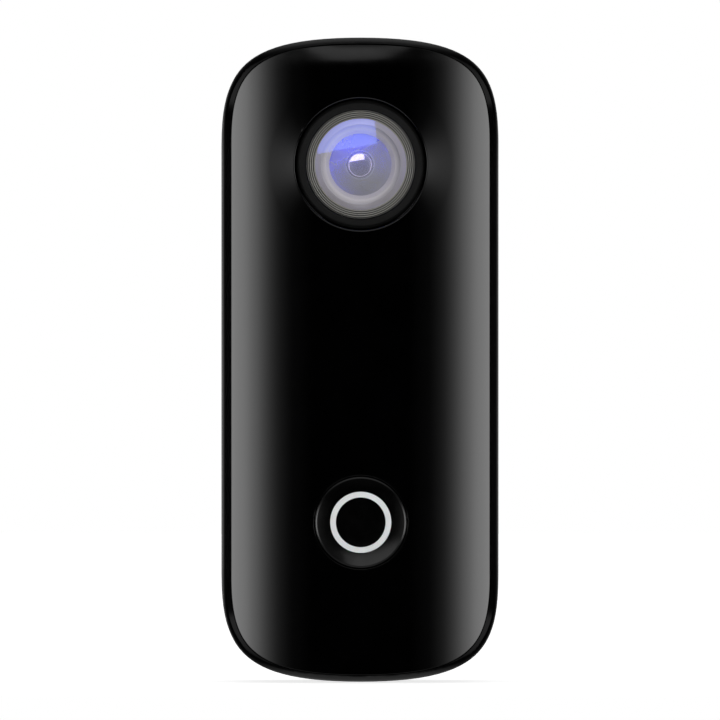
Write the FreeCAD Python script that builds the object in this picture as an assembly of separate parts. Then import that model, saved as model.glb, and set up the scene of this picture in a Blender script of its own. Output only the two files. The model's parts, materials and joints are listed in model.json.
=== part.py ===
"""Pocket action camera: an upright pill-shaped body with a crowned gloss front, a recessed lens near
the top, a round shutter button with a light ring near the bottom, and a flat magnetic back.

Frame, in millimetres: the origin is the centre of the flat rear mounting face. +Z runs up the long
side, +X is to the right of someone looking at the lens, and the lens looks along -Y. Depths ("d") are
distances from the rear mounting face towards the front, so a point at depth d has y = -d.
"""

import math
import os

import FreeCAD
import Part

V = FreeCAD.Vector
FAR = 60.0  # longer than the camera in every direction, for cutting tools

# ---------------------------------------------------------------- driving dimensions
BODY_W = 26.2
BODY_H = 61.0
BODY_D = 20.0
CAP_LEN = 10.1  # height of each curved end of the outline
CAP_END_HANDLE = 11.4  # how flat the outline is at its top and bottom
CAP_SIDE_HANDLE = 7.0  # how straight it runs into the sides

CROWN_A = 14.2  # half-axes of the ellipse that the front face follows across its width
CROWN_B = 4.6
FRONT_ROUND = 0.7
REAR_ROUND = 2.5

WALL = 1.3
REAR_WALL_D = 2.5  # depth of the inside of the rear wall
SHELL_BACK_D = 0.3  # the rear shell's back; the mounting plate stands proud of it
SEAM_D = 8.5  # parting line between the rear shell and the front frame
SEAM_GAP = 0.12

COVER_SIDE_INSET = 0.85  # rim of the frame left visible beside the front cover
COVER_END_INSET = 0.65
COVER_T = 1.2
COVER_GAP = 0.08
ADHESIVE_T = 0.2
DECK_T = 1.0
DECK_FRONT = COVER_T + ADHESIVE_T  # how far the deck's two faces lie behind the crown
DECK_BACK = DECK_FRONT + DECK_T

LENS_Z = 18.5
LENS_HOLE_R = 6.25
LENS_RIM_D = 19.7
BUTTON_Z = -15.4
BUTTON_R = 4.45
BUTTON_TRAVEL = 0.4

SCREW_X = 7.6
SCREW_Z = 24.8
SCREW_JOIN_D = 6.0  # where the rear shell's columns meet the frame's bosses

BOARD_D0 = 11.6
BOARD_D1 = 12.6
BOARD_X = 11.2
BOARD_BOTTOM = -22.9
BOARD_TOP = 11.6
BOARD_SCREWS = [(-6.2, 9.8), (9.7, -21.0), (-9.7, -21.0)]
MODULE_SCREW_X = 7.9
MAGNET_Z = 13.0

GLASS_R = 4.32  # front lens
GLASS_EDGE_D = 18.95  # where its dome meets its edge
GLASS_RADIUS = 22.6
SECOND_R = 2.9  # clear aperture of the middle lens
SECOND_EDGE_D = 16.35
SECOND_RADIUS = 12.0

PORT_Z = 3.0
PORT_D = 13.0
PORT_LEN = 7.3
PORT_W = 8.94
PORT_H = 3.26
POCKET_X = 12.1  # floor of the port pocket, from the centre plane
COVER_LOW_Z = -4.7
COVER_HIGH_Z = 11.3
COVER_HALF_D = 2.9
HINGE_Z = -4.75

CARD_Z = 3.0
CARD_D = 13.45
CARD_W = 11.0
CARD_LEN = 15.0
CARD_T = 0.7
CARD_OUT_X = 12.9

MODE_Z = -15.0
MODE_D = 13.4
MIC_Z = -15.0
MIC_D = 14.05
RESET_Z = 9.2


# ---------------------------------------------------------------- helpers
def box(x0, x1, d0, d1, z0, z1):
    """A block between two x, two depths and two z."""
    return Part.makeBox(x1 - x0, d1 - d0, z1 - z0, V(x0, -d1, z0))


def rod(x, z, r, d0, d1):
    """A round bar that runs front to back."""
    return Part.makeCylinder(r, d1 - d0, V(x, -d1, z), V(0, 1, 0))


def rod_x(d, z, r, x0, x1):
    """A round bar that runs left to right."""
    return Part.makeCylinder(r, x1 - x0, V(x0, -d, z), V(1, 0, 0))


def turned(points, z=0.0, x=0.0):
    """A solid of revolution about a front-to-back axis, from (radius, depth) corners."""
    corners = [V(r, -d, 0) for r, d in points]
    face = Part.Face(Part.makePolygon(corners + corners[:1]))
    solid = face.revolve(V(0, 0, 0), V(0, 1, 0), 360)
    solid.translate(V(x, 0, z))
    return solid


def ball(x, d, z, r):
    return Part.makeSphere(r, V(x, -d, z))


def outline(side_inset=0.0, end_inset=None):
    """The closed outline of the front view, moved in by the insets, in the plane y = 0."""
    end_inset = side_inset if end_inset is None else end_inset
    w = BODY_W / 2 - side_inset
    h = BODY_H / 2 - end_inset
    start = BODY_H / 2 - CAP_LEN
    end_handle = CAP_END_HANDLE * w / (BODY_W / 2)
    side_handle = CAP_SIDE_HANDLE * (h - start) / CAP_LEN

    def cap(sx, sz):
        curve = Part.BezierCurve()
        poles = [(w, start), (w, start + side_handle), (end_handle, h), (0, h)]
        curve.setPoles([V(sx * px, 0, sz * pz) for px, pz in poles])
        return curve.toShape()

    def side(sx):
        return Part.makeLine(V(sx * w, 0, -start), V(sx * w, 0, start))

    edges = [side(1), cap(1, 1), cap(-1, 1), side(-1), cap(-1, -1), cap(1, -1)]
    return Part.Wire(Part.__sortEdges__(edges))


def prism(d0, d1, side_inset=0.0, end_inset=None):
    """The outline as a solid between two depths."""
    solid = Part.Face(outline(side_inset, end_inset)).extrude(V(0, -(d1 - d0), 0))
    solid.translate(V(0, -d0, 0))
    return solid


def behind_crown(lowered=0.0):
    """Everything behind the crowned front surface, when that surface is moved back by lowered."""
    centre_y = -(BODY_D - lowered) + CROWN_B
    ellipse = Part.Ellipse(V(0, centre_y, -FAR), CROWN_A, CROWN_B)
    arc = ellipse.toShape(math.pi, 2 * math.pi)
    route = [(CROWN_A, centre_y), (CROWN_A, FAR), (-CROWN_A, FAR), (-CROWN_A, centre_y)]
    points = [V(x, y, -FAR) for x, y in route]
    sides = [Part.makeLine(a, b) for a, b in zip(points, points[1:])]
    return Part.Face(Part.Wire([arc] + sides)).extrude(V(0, 0, 2 * FAR))


def crown_sheet(front, back, shape):
    """The part of shape that lies between the crown lowered by front and the crown lowered by back."""
    return shape.common(behind_crown(front)).cut(behind_crown(back))


def slot_bar(axis, centre, length, width, low, high):
    """A bar with a stadium section, length along Z and width across, from low to high on its axis."""
    r = width / 2
    half = length / 2 - r
    if axis == "x":
        d, z = centre
        ends = [rod_x(d, z + s * half, r, low, high) for s in (-1, 1)]
        return ends[0].fuse([ends[1], box(low, high, d - r, d + r, z - half, z + half)]).removeSplitter()
    x, z = centre
    ends = [rod(x, z + s * half, r, low, high) for s in (-1, 1)]
    return ends[0].fuse([ends[1], box(x - r, x + r, low, high, z - half, z + half)]).removeSplitter()


def rounded_box(x0, x1, d0, d1, z0, z1, r, along):
    """A block whose four edges along one axis ("x", "y" or "z") are rounded."""
    block = box(x0, x1, d0, d1, z0, z1)
    unit = {"x": V(1, 0, 0), "y": V(0, 1, 0), "z": V(0, 0, 1)}[along]
    edges = [e for e in block.Edges if abs(e.tangentAt(e.FirstParameter).dot(unit)) > 0.99]
    return block.makeFillet(r, edges)


def spherical_cut(z, front_d, aperture, radius, hollow):
    """A ball that cuts a concave dish of the given aperture, whose rim is at front_d on its own side."""
    rise = math.sqrt(radius**2 - aperture**2)
    centre_d = front_d + rise if hollow == "front" else front_d - rise
    return ball(0, centre_d, z, radius)


def join(shapes):
    first, *rest = shapes
    return first.fuse(rest).removeSplitter() if rest else first


def group(solids):
    return Part.makeCompound(solids)


def corners(x, z):
    return [(sx * x, sz * z) for sx in (-1, 1) for sz in (-1, 1)]


PARTS = {}


def part(name):
    """Files the function's shape under its node name."""

    def keep(make):
        PARTS[name] = make
        return make

    return keep


# ---------------------------------------------------------------- shells
def edges_on_crown(shape, lowered, tolerance=0.02):
    """Edges whose middle lies on the crowned surface and on the outer wall."""
    found = []
    for e in shape.Edges:
        p = e.valueAt((e.FirstParameter + e.LastParameter) / 2)
        surface_y = -(BODY_D - lowered) + CROWN_B * (1 - math.sqrt(max(0.0, 1 - (p.x / CROWN_A) ** 2)))
        if abs(p.y - surface_y) < tolerance:
            found.append(e)
    return found


def screw_bosses():
    """Bosses behind the deck for the four housing screws."""
    tops = [rod(x, z, 1.6, SCREW_JOIN_D + 0.05, BODY_D) for x, z in corners(SCREW_X, SCREW_Z)]
    return [t.common(behind_crown(DECK_FRONT + 0.3)) for t in tops]


def deck_posts():
    """Posts behind the deck that carry the main board and the lens module."""
    board = [rod(x, z, 1.2, BOARD_D1 + 0.02, BODY_D) for x, z in BOARD_SCREWS]
    module = [rod(s * MODULE_SCREW_X, LENS_Z, 1.3, 6.65, BODY_D) for s in (-1, 1)]
    return [p.common(behind_crown(DECK_FRONT + 0.3)) for p in board + module]


def port_pocket():
    """Recess in the side wall that takes the port cover's plate."""
    half_d = COVER_HALF_D + 0.12
    low_z = COVER_LOW_Z - 0.1
    high_z = COVER_HIGH_Z + 0.12
    return rounded_box(-FAR, -POCKET_X, PORT_D - half_d, PORT_D + half_d, low_z, high_z, 1.6, "x")


@part("front_frame")
def front_frame():
    outer = prism(SEAM_D + SEAM_GAP / 2, FAR / 2).common(behind_crown())
    outer = outer.makeFillet(FRONT_ROUND, edges_on_crown(outer, 0.0))
    pocket = prism(SEAM_D, FAR / 2, COVER_SIDE_INSET - COVER_GAP, COVER_END_INSET - COVER_GAP)
    pocket = pocket.cut(behind_crown(DECK_FRONT))
    cavity = prism(SEAM_D - 1, FAR / 2, WALL).common(behind_crown(DECK_BACK))
    frame = outer.cut(pocket).cut(cavity)

    lip = prism(SEAM_D - 1.5, SEAM_D + 1.0, 0.75).cut(prism(SEAM_D - 2, SEAM_D + 2, WALL))
    lens_well = rod(0, LENS_Z, 7.2, 14.5, 18.3).common(behind_crown(DECK_FRONT))
    button_seat = rod(0, BUTTON_Z, 6.6, 17.05, 18.3).common(behind_crown(DECK_FRONT + 0.3))
    port_pad = box(-WALL * 10, -11.3, 9.9, 15.4, -6.9, 12.4).common(prism(9, 16, WALL - 0.2))
    port_pad = port_pad.common(behind_crown(DECK_BACK - 0.2))
    frame = frame.fuse([lip, lens_well, button_seat, port_pad] + screw_bosses() + deck_posts())

    holes = [
        rod(0, LENS_Z, 6.15, 16.6, FAR),
        rod(0, LENS_Z, 5.5, 14.0, FAR),
        rod(0, BUTTON_Z, 5.2, 16.0, FAR),
        port_pocket(),
        slot_bar("x", (PORT_D, PORT_Z), PORT_W + 0.1, PORT_H + 0.1, -FAR, -8.0),
        rod_x(PORT_D, RESET_Z, 0.45, -FAR, -8.0),
        box(-FAR, -12.5, PORT_D - 1.6, PORT_D + 1.6, -6.5, COVER_LOW_Z),
        rod_x(PORT_D, -5.7, 0.62, -FAR, -8.0),
        box(8.0, FAR, CARD_D - 0.65, CARD_D + 0.65, CARD_Z - CARD_W / 2 - 0.2, CARD_Z + CARD_W / 2 + 0.2),
        rod(4.4 + BODY_W / 2, CARD_Z, 5.0, CARD_D - 1.9, CARD_D + 1.9),
        slot_bar("x", (MODE_D, MODE_Z), 5.24, 2.44, 8.0, FAR),
        rod_x(MIC_D, MIC_Z, 0.45, -FAR, -8.0),
        rod_x(MIC_D, MIC_Z, 1.1, -12.0, -8.0),
    ]
    holes += [rod(x, z, 1.27, SCREW_JOIN_D - 1, 9.2) for x, z in corners(SCREW_X, SCREW_Z)]
    holes += [rod(x, z, 0.85, SCREW_JOIN_D - 1, 10.2) for x, z in corners(SCREW_X, SCREW_Z)]
    holes += [rod(x, z, 0.62, BOARD_D1 - 1, 15.2) for x, z in BOARD_SCREWS]
    holes += [rod(s * MODULE_SCREW_X, LENS_Z, 0.62, 6.0, 9.4) for s in (-1, 1)]
    for hole in holes:
        frame = frame.cut(hole)
    return frame.removeSplitter()


@part("rear_shell")
def rear_shell():
    outer = prism(SHELL_BACK_D, SEAM_D - SEAM_GAP / 2)
    back_edges = [e for e in outer.Edges if e.BoundBox.YMin > -SHELL_BACK_D - 0.01]
    outer = outer.makeFillet(REAR_ROUND, back_edges)
    cavity = prism(REAR_WALL_D, SEAM_D + 1, WALL)
    floor_edges = [e for e in cavity.Edges if e.BoundBox.YMin > -REAR_WALL_D - 0.01]
    cavity = cavity.makeFillet(1.2, floor_edges)
    rebate = prism(SEAM_D - 2.0, SEAM_D + 1, 0.7)
    shell = outer.cut(cavity).cut(rebate)
    columns = [rod(x, z, 1.7, 1.5, SCREW_JOIN_D) for x, z in corners(SCREW_X, SCREW_Z)]
    shell = shell.fuse(columns)
    plate_pocket = rounded_box(-10.3, 10.3, -1, 0.7, -27.5, 27.5, 5.1, "y")
    centres = (-MAGNET_Z, MAGNET_Z)
    magnet_pockets = [rounded_box(-8.1, 8.1, 0, 2.12, z - 4.6, z + 4.6, 0.8, "y") for z in centres]
    heads = [rod(x, z, 1.5, 0, 1.9) for x, z in corners(SCREW_X, SCREW_Z)]
    shanks = [rod(x, z, 0.9, 0, 8) for x, z in corners(SCREW_X, SCREW_Z)]
    for hole in [plate_pocket] + magnet_pockets + heads + shanks:
        shell = shell.cut(hole)
    return shell.removeSplitter()


@part("housing_seal")
def housing_seal():
    """Silicone cord between the frame's lip and the rear shell's rebate."""
    return prism(SEAM_D - 1.98, SEAM_D - 1.52, 0.78).cut(prism(SEAM_D - 3, SEAM_D, 1.24))


@part("front_cover")
def front_cover():
    blank = prism(SEAM_D, FAR / 2, COVER_SIDE_INSET, COVER_END_INSET)
    cover = crown_sheet(0.0, COVER_T, blank)
    cover = cover.makeFillet(0.35, edges_on_crown(cover, 0.0))
    collar = turned([(5.0, LENS_RIM_D), (6.6, LENS_RIM_D), (9.0, 19.02), (9.0, 18.6), (5.0, 18.6)], LENS_Z)
    collar = collar.cut(behind_crown(COVER_T))
    cover = cover.fuse(collar)
    for hole in (rod(0, LENS_Z, LENS_HOLE_R, 8, FAR), rod(0, BUTTON_Z, BUTTON_R + 0.1, 8, FAR)):
        cover = cover.cut(hole)
    return cover.removeSplitter()


@part("front_cover_adhesive")
def front_cover_adhesive():
    blank = prism(SEAM_D, FAR / 2, 1.3, 1.1).cut(prism(SEAM_D, FAR / 2, 3.4, 3.0))
    bars = box(-13, 13, 8, FAR / 2, -9.2, -6.8).common(prism(SEAM_D, FAR / 2, 2.0))
    tape = crown_sheet(COVER_T, DECK_FRONT, blank.fuse(bars))
    return tape.cut(rod(0, LENS_Z, 7.0, 8, FAR))


@part("rear_plate")
def rear_plate():
    """Flat plate over the magnets; its outer face is the mounting face."""
    plate = rounded_box(-10.2, 10.2, 0, 0.6, -27.4, 27.4, 5.0, "y")
    outer_edges = [e for e in plate.Edges if e.BoundBox.YMin > -0.01]
    return plate.makeFillet(0.2, outer_edges)


@part("rear_plate_adhesive")
def rear_plate_adhesive():
    sheet = rounded_box(-9.9, 9.9, 0.6, 0.7, -27.1, 27.1, 4.8, "y")
    for x, z in corners(SCREW_X, SCREW_Z):
        sheet = sheet.cut(rod(x, z, 1.5, 0, 1))
    return sheet


@part("magnets")
def magnets():
    centres = (-MAGNET_Z, MAGNET_Z)
    return group([rounded_box(-8, 8, 0.72, 2.1, z - 4.5, z + 4.5, 0.7, "y") for z in centres])


@part("magnet_yoke")
def magnet_yoke():
    """Thin steel sheet inside the back wall that closes the magnets' field."""
    return rounded_box(-8.8, 8.8, REAR_WALL_D + 0.02, REAR_WALL_D + 0.3, -19, 19, 1.5, "y")


def cross_screw(x, z, head_r, head_d0, head_d1, shank_r, tip_d):
    """A pan-head screw driven from the back, with a cross recess and a rounded head."""
    head = rod(x, z, head_r, head_d0, head_d1)
    outer_rim = [e for e in head.Edges if e.Closed and e.BoundBox.YMin > -head_d0 - 0.01]
    head = head.makeFillet(head_r * 0.25, outer_rim)
    shank = rod(x, z, shank_r, head_d1, tip_d)
    screw = head.fuse(shank)
    arm = head_r * 0.6
    for half_x, half_z in ((0.14, arm), (arm, 0.14)):
        slot = box(x - half_x, x + half_x, head_d0 - 1, head_d0 + 0.45, z - half_z, z + half_z)
        screw = screw.cut(slot)
    return screw.removeSplitter()


@part("housing_screws")
def housing_screws():
    return group([cross_screw(x, z, 1.35, 0.95, 1.88, 0.78, 9.8) for x, z in corners(SCREW_X, SCREW_Z)])


@part("threaded_inserts")
def threaded_inserts():
    """Brass inserts with two knurled bands, one in each boss."""

    bore, waist, knurl = 0.8, 1.1, 1.25
    profile = [(bore, 6.1), (knurl, 6.1), (knurl, 7.1), (waist, 7.1)]
    profile += [(waist, 7.9), (knurl, 7.9), (knurl, 9.0), (bore, 9.0)]
    return group([turned(profile, z, x) for x, z in corners(SCREW_X, SCREW_Z)])


# ---------------------------------------------------------------- lens
@part("lens_trim_ring")
def lens_trim_ring():
    """Dark ring around the lens, seated on the shoulder of the frame's lens well."""
    face = [(5.17, 19.28), (5.3, 19.4), (5.75, 19.4), (6.08, 19.15)]
    skirt = [(6.08, 16.65), (5.6, 16.65), (5.6, 18.4), (5.17, 18.4)]
    return turned(face + skirt, LENS_Z)


BAFFLE_STEPS = 6


@part("lens_barrel")
def lens_barrel():
    """Barrel with a stepped baffle round the glass, lens seats inside, and thread turns behind its head."""
    profile = [(4.34, 18.0), (4.34, 18.9)]
    step = (5.1 - 4.36) / BAFFLE_STEPS
    for k in range(BAFFLE_STEPS):
        r = 4.36 + k * step
        crest_d = 19.01 + 0.06 * k
        groove_d = crest_d - 0.08
        profile += [(r + 0.01, crest_d), (r + step * 0.45, crest_d)]
        profile += [(r + step * 0.55, groove_d), (r + step * 0.95, groove_d)]
    profile += [(5.12, 19.3), (5.12, 14.4)]
    turns = 12
    pitch = 0.55
    for k in range(turns):
        d = 14.3 - k * pitch
        profile += [(5.0, d), (5.0, d - 0.2), (4.82, d - 0.34), (4.82, d - 0.42)]
    profile += [(5.0, 7.6), (4.8, 7.4), (3.2, 7.4), (3.2, 12.1)]
    profile += [(2.8, 12.35), (2.8, 13.9), (3.8, 13.9), (3.8, 18.0)]
    return turned(profile, LENS_Z)


@part("front_lens")
def front_lens():
    """Meniscus: a shallow front dome over a concave back."""
    back_d = 18.02
    centre_d = GLASS_EDGE_D - math.sqrt(GLASS_RADIUS**2 - GLASS_R**2)
    dome = ball(0, centre_d, LENS_Z, GLASS_RADIUS)
    blank = rod(0, LENS_Z, GLASS_R, back_d, BODY_D).common(dome)
    return blank.cut(spherical_cut(LENS_Z, back_d, 2.9, 7.0, "back"))


@part("lens_spacer")
def lens_spacer():
    """Bevelled ring between the first two lenses."""
    return turned([(2.95, 17.2), (3.3, 17.98), (3.78, 17.98), (3.78, 16.4), (2.95, 16.4)], LENS_Z)


@part("middle_lens")
def middle_lens():
    """Second lens: a shallow dome inside a flat flange, with a concave back."""
    back_d = 15.0
    flange = rod(0, LENS_Z, 3.76, back_d, SECOND_EDGE_D)
    centre_d = SECOND_EDGE_D - math.sqrt(SECOND_RADIUS**2 - SECOND_R**2)
    dome = rod(0, LENS_Z, SECOND_R, back_d, BODY_D).common(ball(0, centre_d, LENS_Z, SECOND_RADIUS))
    return flange.fuse(dome).cut(ball(0, 10.6, LENS_Z, 5.0)).removeSplitter()


@part("aperture_stop")
def aperture_stop():
    return turned([(1.3, 14.85), (1.5, 14.95), (3.76, 14.95), (3.76, 14.7), (1.3, 14.7)], LENS_Z)


@part("rear_spacer")
def rear_spacer():
    """Ring behind the stop that centres the small third lens."""
    outer = [(1.75, 14.65), (3.76, 14.65), (3.76, 13.92)]
    inner = [(2.6, 13.92), (2.6, 13.3), (1.75, 13.3)]
    return turned(outer + inner, LENS_Z)


@part("third_lens")
def third_lens():
    """Small, strongly domed element just behind the stop."""
    return rod(0, LENS_Z, 1.72, 13.3, 14.65).common(ball(0, 14.6 - 2.6, LENS_Z, 2.6))


@part("rear_lens")
def rear_lens():
    """Biconvex element near the sensor."""
    blank = rod(0, LENS_Z, 3.17, 9.3, 12.9)
    return blank.common(ball(0, 12.85 - 6.0, LENS_Z, 6.0)).common(ball(0, 9.35 + 7.0, LENS_Z, 7.0))


@part("rear_lens_retainer")
def rear_lens_retainer():
    return turned([(2.5, 8.6), (3.18, 8.6), (3.18, 10.05), (2.9, 9.93), (2.5, 9.5)], LENS_Z)


@part("lens_seal")
def lens_seal():
    return Part.makeTorus(5.31, 0.17, V(0, -15.8, LENS_Z), V(0, 1, 0))


MODULE_HALF = 5.8


@part("lens_holder")
def lens_holder():
    """Square foot over the sensor, threaded tube for the barrel, and two screw ears."""
    low_z = LENS_Z - MODULE_HALF
    high_z = LENS_Z + MODULE_HALF
    foot = rounded_box(-MODULE_HALF, MODULE_HALF, 4.0, 6.6, low_z, high_z, 0.6, "y")
    tube = rod(0, LENS_Z, 6.2, 6.0, 13.6)
    ears = [slot_bar("y", (0, 0), 20.4, 3.0, 5.6, 6.6)]
    ears[0].rotate(V(0, 0, 0), V(0, 1, 0), 90)
    ears[0].translate(V(0, 0, LENS_Z))
    holder = join([foot, tube] + ears)
    holes = [
        rod(0, LENS_Z, 5.03, 6.6, 14),
        box(-4.3, 4.3, 3, 5.6, LENS_Z - 4.3, LENS_Z + 4.3),
        box(-2.3, 2.3, 3, 14, LENS_Z - 2.3, LENS_Z + 2.3),
    ]
    holes += [rod(s * MODULE_SCREW_X, LENS_Z, 0.75, 3, 9) for s in (-1, 1)]
    for hole in holes:
        holder = holder.cut(hole)
    return holder.removeSplitter()


@part("ir_filter")
def ir_filter():
    return rounded_box(-3.0, 3.0, 6.62, 6.92, LENS_Z - 3.0, LENS_Z + 3.0, 0.2, "y")


@part("image_sensor")
def image_sensor():
    tray = box(-3.7, 3.7, 4.02, 4.8, LENS_Z - 3.7, LENS_Z + 3.7)
    return tray.cut(box(-2.9, 2.9, 4.5, 5, LENS_Z - 2.4, LENS_Z + 2.4))


@part("sensor_glass")
def sensor_glass():
    return box(-3.5, 3.5, 4.82, 5.15, LENS_Z - 3.5, LENS_Z + 3.5)


@part("sensor_board")
def sensor_board():
    return rounded_box(-MODULE_HALF, MODULE_HALF, 3.2, 3.98, 12.0, 25.0, 0.5, "y")


@part("module_screws")
def module_screws():
    return group([cross_screw(s * MODULE_SCREW_X, LENS_Z, 1.15, 4.85, 5.58, 0.58, 9.2) for s in (-1, 1)])


def rounded_path(points, radius):
    """A wire of straight runs joined by tangent arcs of one radius."""
    edges = []
    here = points[0]
    for before, corner, after in zip(points, points[1:], points[2:]):
        a = (before - corner).normalize()
        b = (after - corner).normalize()
        half = math.acos(a.dot(b)) / 2
        reach = radius / math.tan(half)
        start = corner + a * reach
        end = corner + b * reach
        middle = corner + (a + b).normalize() * (radius / math.sin(half) - radius)
        edges.append(Part.makeLine(here, start))
        edges.append(Part.Arc(start, middle, end).toShape())
        here = end
    edges.append(Part.makeLine(here, points[-1]))
    return Part.Wire(edges)


def swept(path, section):
    return path.makePipeShell([section], True, False)


@part("sensor_flex")
def sensor_flex():
    """Ribbon from the back of the sensor board, over the battery, to the connector on the main board."""
    points = [V(0, -3.1, 14.4), V(0, -3.1, 10.75), V(0, -10.72, 10.75), V(0, -10.72, 7.9)]
    path = rounded_path(points, 0.35)
    half_w, half_t = 3.5, 0.07
    start = points[0]
    signs = ((-1, -1), (1, -1), (1, 1), (-1, 1), (-1, -1))
    ring = [V(sx * half_w, start.y + sy * half_t, start.z) for sx, sy in signs]
    return swept(path, Part.makePolygon(ring))


@part("flex_connector")
def flex_connector():
    return rounded_box(-4.2, 4.2, 10.81, BOARD_D0 - 0.01, 7.6, 9.8, 0.2, "y")


# ---------------------------------------------------------------- shutter button
DISH_R = 24.0
DISH_RIM_D = 19.72
DISH_RIM_R = 4.3
RING_IN = 2.36
RING_OUT = 2.95
RING_T = 0.6


def dish_ball():
    return spherical_cut(BUTTON_Z, DISH_RIM_D, DISH_RIM_R, DISH_R, "front")


def ring_windows(r0, r1, d0, d1):
    """Four quarter-arc windows through the cap under the light ring."""
    band = rod(0, BUTTON_Z, r1, d0, d1).cut(rod(0, BUTTON_Z, r0, d0 - 1, d1 + 1))
    bridges = []
    for angle in (45, 135):
        bar = box(-FAR, FAR, d0 - 1, d1 + 1, -0.5, 0.5)
        bar.rotate(V(0, 0, 0), V(0, 1, 0), angle)
        bar.translate(V(0, 0, BUTTON_Z))
        bridges.append(bar)
    return band.cut(bridges[0]).cut(bridges[1])


@part("shutter_button")
def shutter_button():
    """Dished cap with a flange behind the cover and a stem to the switch."""
    rim = [(0, 19.9), (BUTTON_R - 0.08, 19.78), (BUTTON_R, 19.7), (BUTTON_R, 18.35)]
    flange = [(5.0, 18.35), (5.0, 17.85), (1.2, 17.85)]
    stem = [(1.2, 14.95), (0, 14.95)]
    cap = turned(rim + flange + stem, BUTTON_Z)
    cap = cap.cut(dish_ball())
    groove_floor = 19.0 - RING_T + 0.1
    groove = rod(0, BUTTON_Z, RING_OUT + 0.01, groove_floor, FAR)
    groove = groove.cut(rod(0, BUTTON_Z, RING_IN - 0.01, 10, FAR + 1))
    return cap.cut(groove).cut(ring_windows(RING_IN - 0.01, RING_OUT + 0.01, 17, 19)).removeSplitter()


@part("button_light_ring")
def button_light_ring():
    """White diffuser, flush with the dish, with four feet that fill the cap's windows."""
    floor_d = 19.0 - RING_T + 0.11
    ring = rod(0, BUTTON_Z, RING_OUT, floor_d, 19.9).cut(rod(0, BUTTON_Z, RING_IN, floor_d - 1, 21))
    ring = ring.cut(dish_ball())
    feet = ring_windows(RING_IN, RING_OUT, 17.86, floor_d + 0.1)
    for angle in (45, 135):
        bar = box(-FAR, FAR, 17, floor_d, -0.52, 0.52)
        bar.rotate(V(0, 0, 0), V(0, 1, 0), angle)
        bar.translate(V(0, 0, BUTTON_Z))
        feet = feet.cut(bar)
    return ring.fuse(feet).removeSplitter()


@part("button_seal")
def button_seal():
    """Clear silicone diaphragm bonded behind the button well; its lip wipes the stem."""
    lip = [(1.26, 17.2), (1.6, 17.2), (2.2, 16.95)]
    rim = [(5.1, 16.95), (5.4, 17.03), (6.5, 17.03), (6.5, 16.7)]
    underside = [(1.9, 16.6), (1.26, 16.85)]
    return turned(lip + rim + underside, BUTTON_Z)


@part("shutter_switch")
def shutter_switch():
    body = rounded_box(-1.6, 1.6, BOARD_D1 + 0.01, 14.0, BUTTON_Z - 1.6, BUTTON_Z + 1.6, 0.3, "y")
    return body.cut(rod(0, BUTTON_Z, 0.85, 13.4, 15))


@part("shutter_switch_plunger")
def shutter_switch_plunger():
    return rod(0, BUTTON_Z, 0.8, 13.9, 14.93)


@part("ring_leds")
def ring_leds():
    """Four light-emitting chips under the light ring."""

    def led(angle):
        chip = box(-0.8, 0.8, BOARD_D1 + 0.01, 13.1, -0.4, 0.4)
        chip = chip.fuse(rounded_box(-0.5, 0.5, 13.1, 13.3, -0.38, 0.38, 0.1, "y"))
        chip.translate(V(0, 0, 2.95))
        chip.rotate(V(0, 0, 0), V(0, 1, 0), angle)
        chip.translate(V(0, 0, BUTTON_Z))
        return chip.removeSplitter()

    return group([led(90 * k) for k in range(4)])


# ---------------------------------------------------------------- electronics
@part("main_board")
def main_board():
    board = rounded_box(-BOARD_X, BOARD_X, BOARD_D0, BOARD_D1, BOARD_BOTTOM, BOARD_TOP, 1.0, "y")
    port_notch = box(-FAR, -4.7, 8, 14, PORT_Z - PORT_W / 2 - 0.1, PORT_Z + PORT_W / 2 + 0.1)
    pin_notch = box(-FAR, -10.4, 8, 14, -6.9, -4.5)
    mode_notch = box(10.6, FAR, 8, 14, MODE_Z - 3.4, MODE_Z + 3.4)
    board = board.cut(port_notch).cut(pin_notch).cut(mode_notch)
    for x, z in BOARD_SCREWS:
        board = board.cut(rod(x, z, 0.75, 8, 14))
    return board


@part("board_screws")
def board_screws():
    return group([cross_screw(x, z, 1.15, 10.8, BOARD_D0 - 0.01, 0.58, 15.0) for x, z in BOARD_SCREWS])


@part("processor")
def processor():
    return rounded_box(-3.6, 3.4, BOARD_D1 + 0.01, 13.4, -11.2, -4.8, 0.15, "y")


@part("memory_chip")
def memory_chip():
    return rounded_box(4.4, 9.2, BOARD_D1 + 0.01, 13.3, -11.0, -5.2, 0.1, "y")


@part("shield_can")
def shield_can():
    """Folded sheet-metal lid over the processor and its memory."""
    lid = rounded_box(-9.8, 9.8, BOARD_D1 + 0.02, 14.1, -11.6, -4.3, 0.3, "y")
    inside = rounded_box(-9.6, 9.6, BOARD_D1 - 1, 13.9, -11.4, -4.5, 0.2, "y")
    vents = [rod(-8 + 3.2 * k, -8, 0.35, 13, 15) for k in range(6)]
    lid = lid.cut(inside)
    for vent in vents:
        lid = lid.cut(vent)
    return lid


@part("usb_port")
def usb_port():
    """Rounded metal shell of the charging port, open to the left."""
    inner_x = -POCKET_X + PORT_LEN
    shell = slot_bar("x", (PORT_D, PORT_Z), PORT_W, PORT_H, -POCKET_X, inner_x)
    ear_d = BOARD_D1 + 0.01
    ears = [box(x, x + 1.0, ear_d, ear_d + 0.25, PORT_Z - 5.3, PORT_Z + 5.3) for x in (-10.4, -6.6)]
    mouth = slot_bar("x", (PORT_D, PORT_Z), 8.34, 2.56, -FAR, inner_x - 1.0)
    return shell.fuse(ears).cut(mouth).removeSplitter()


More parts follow.
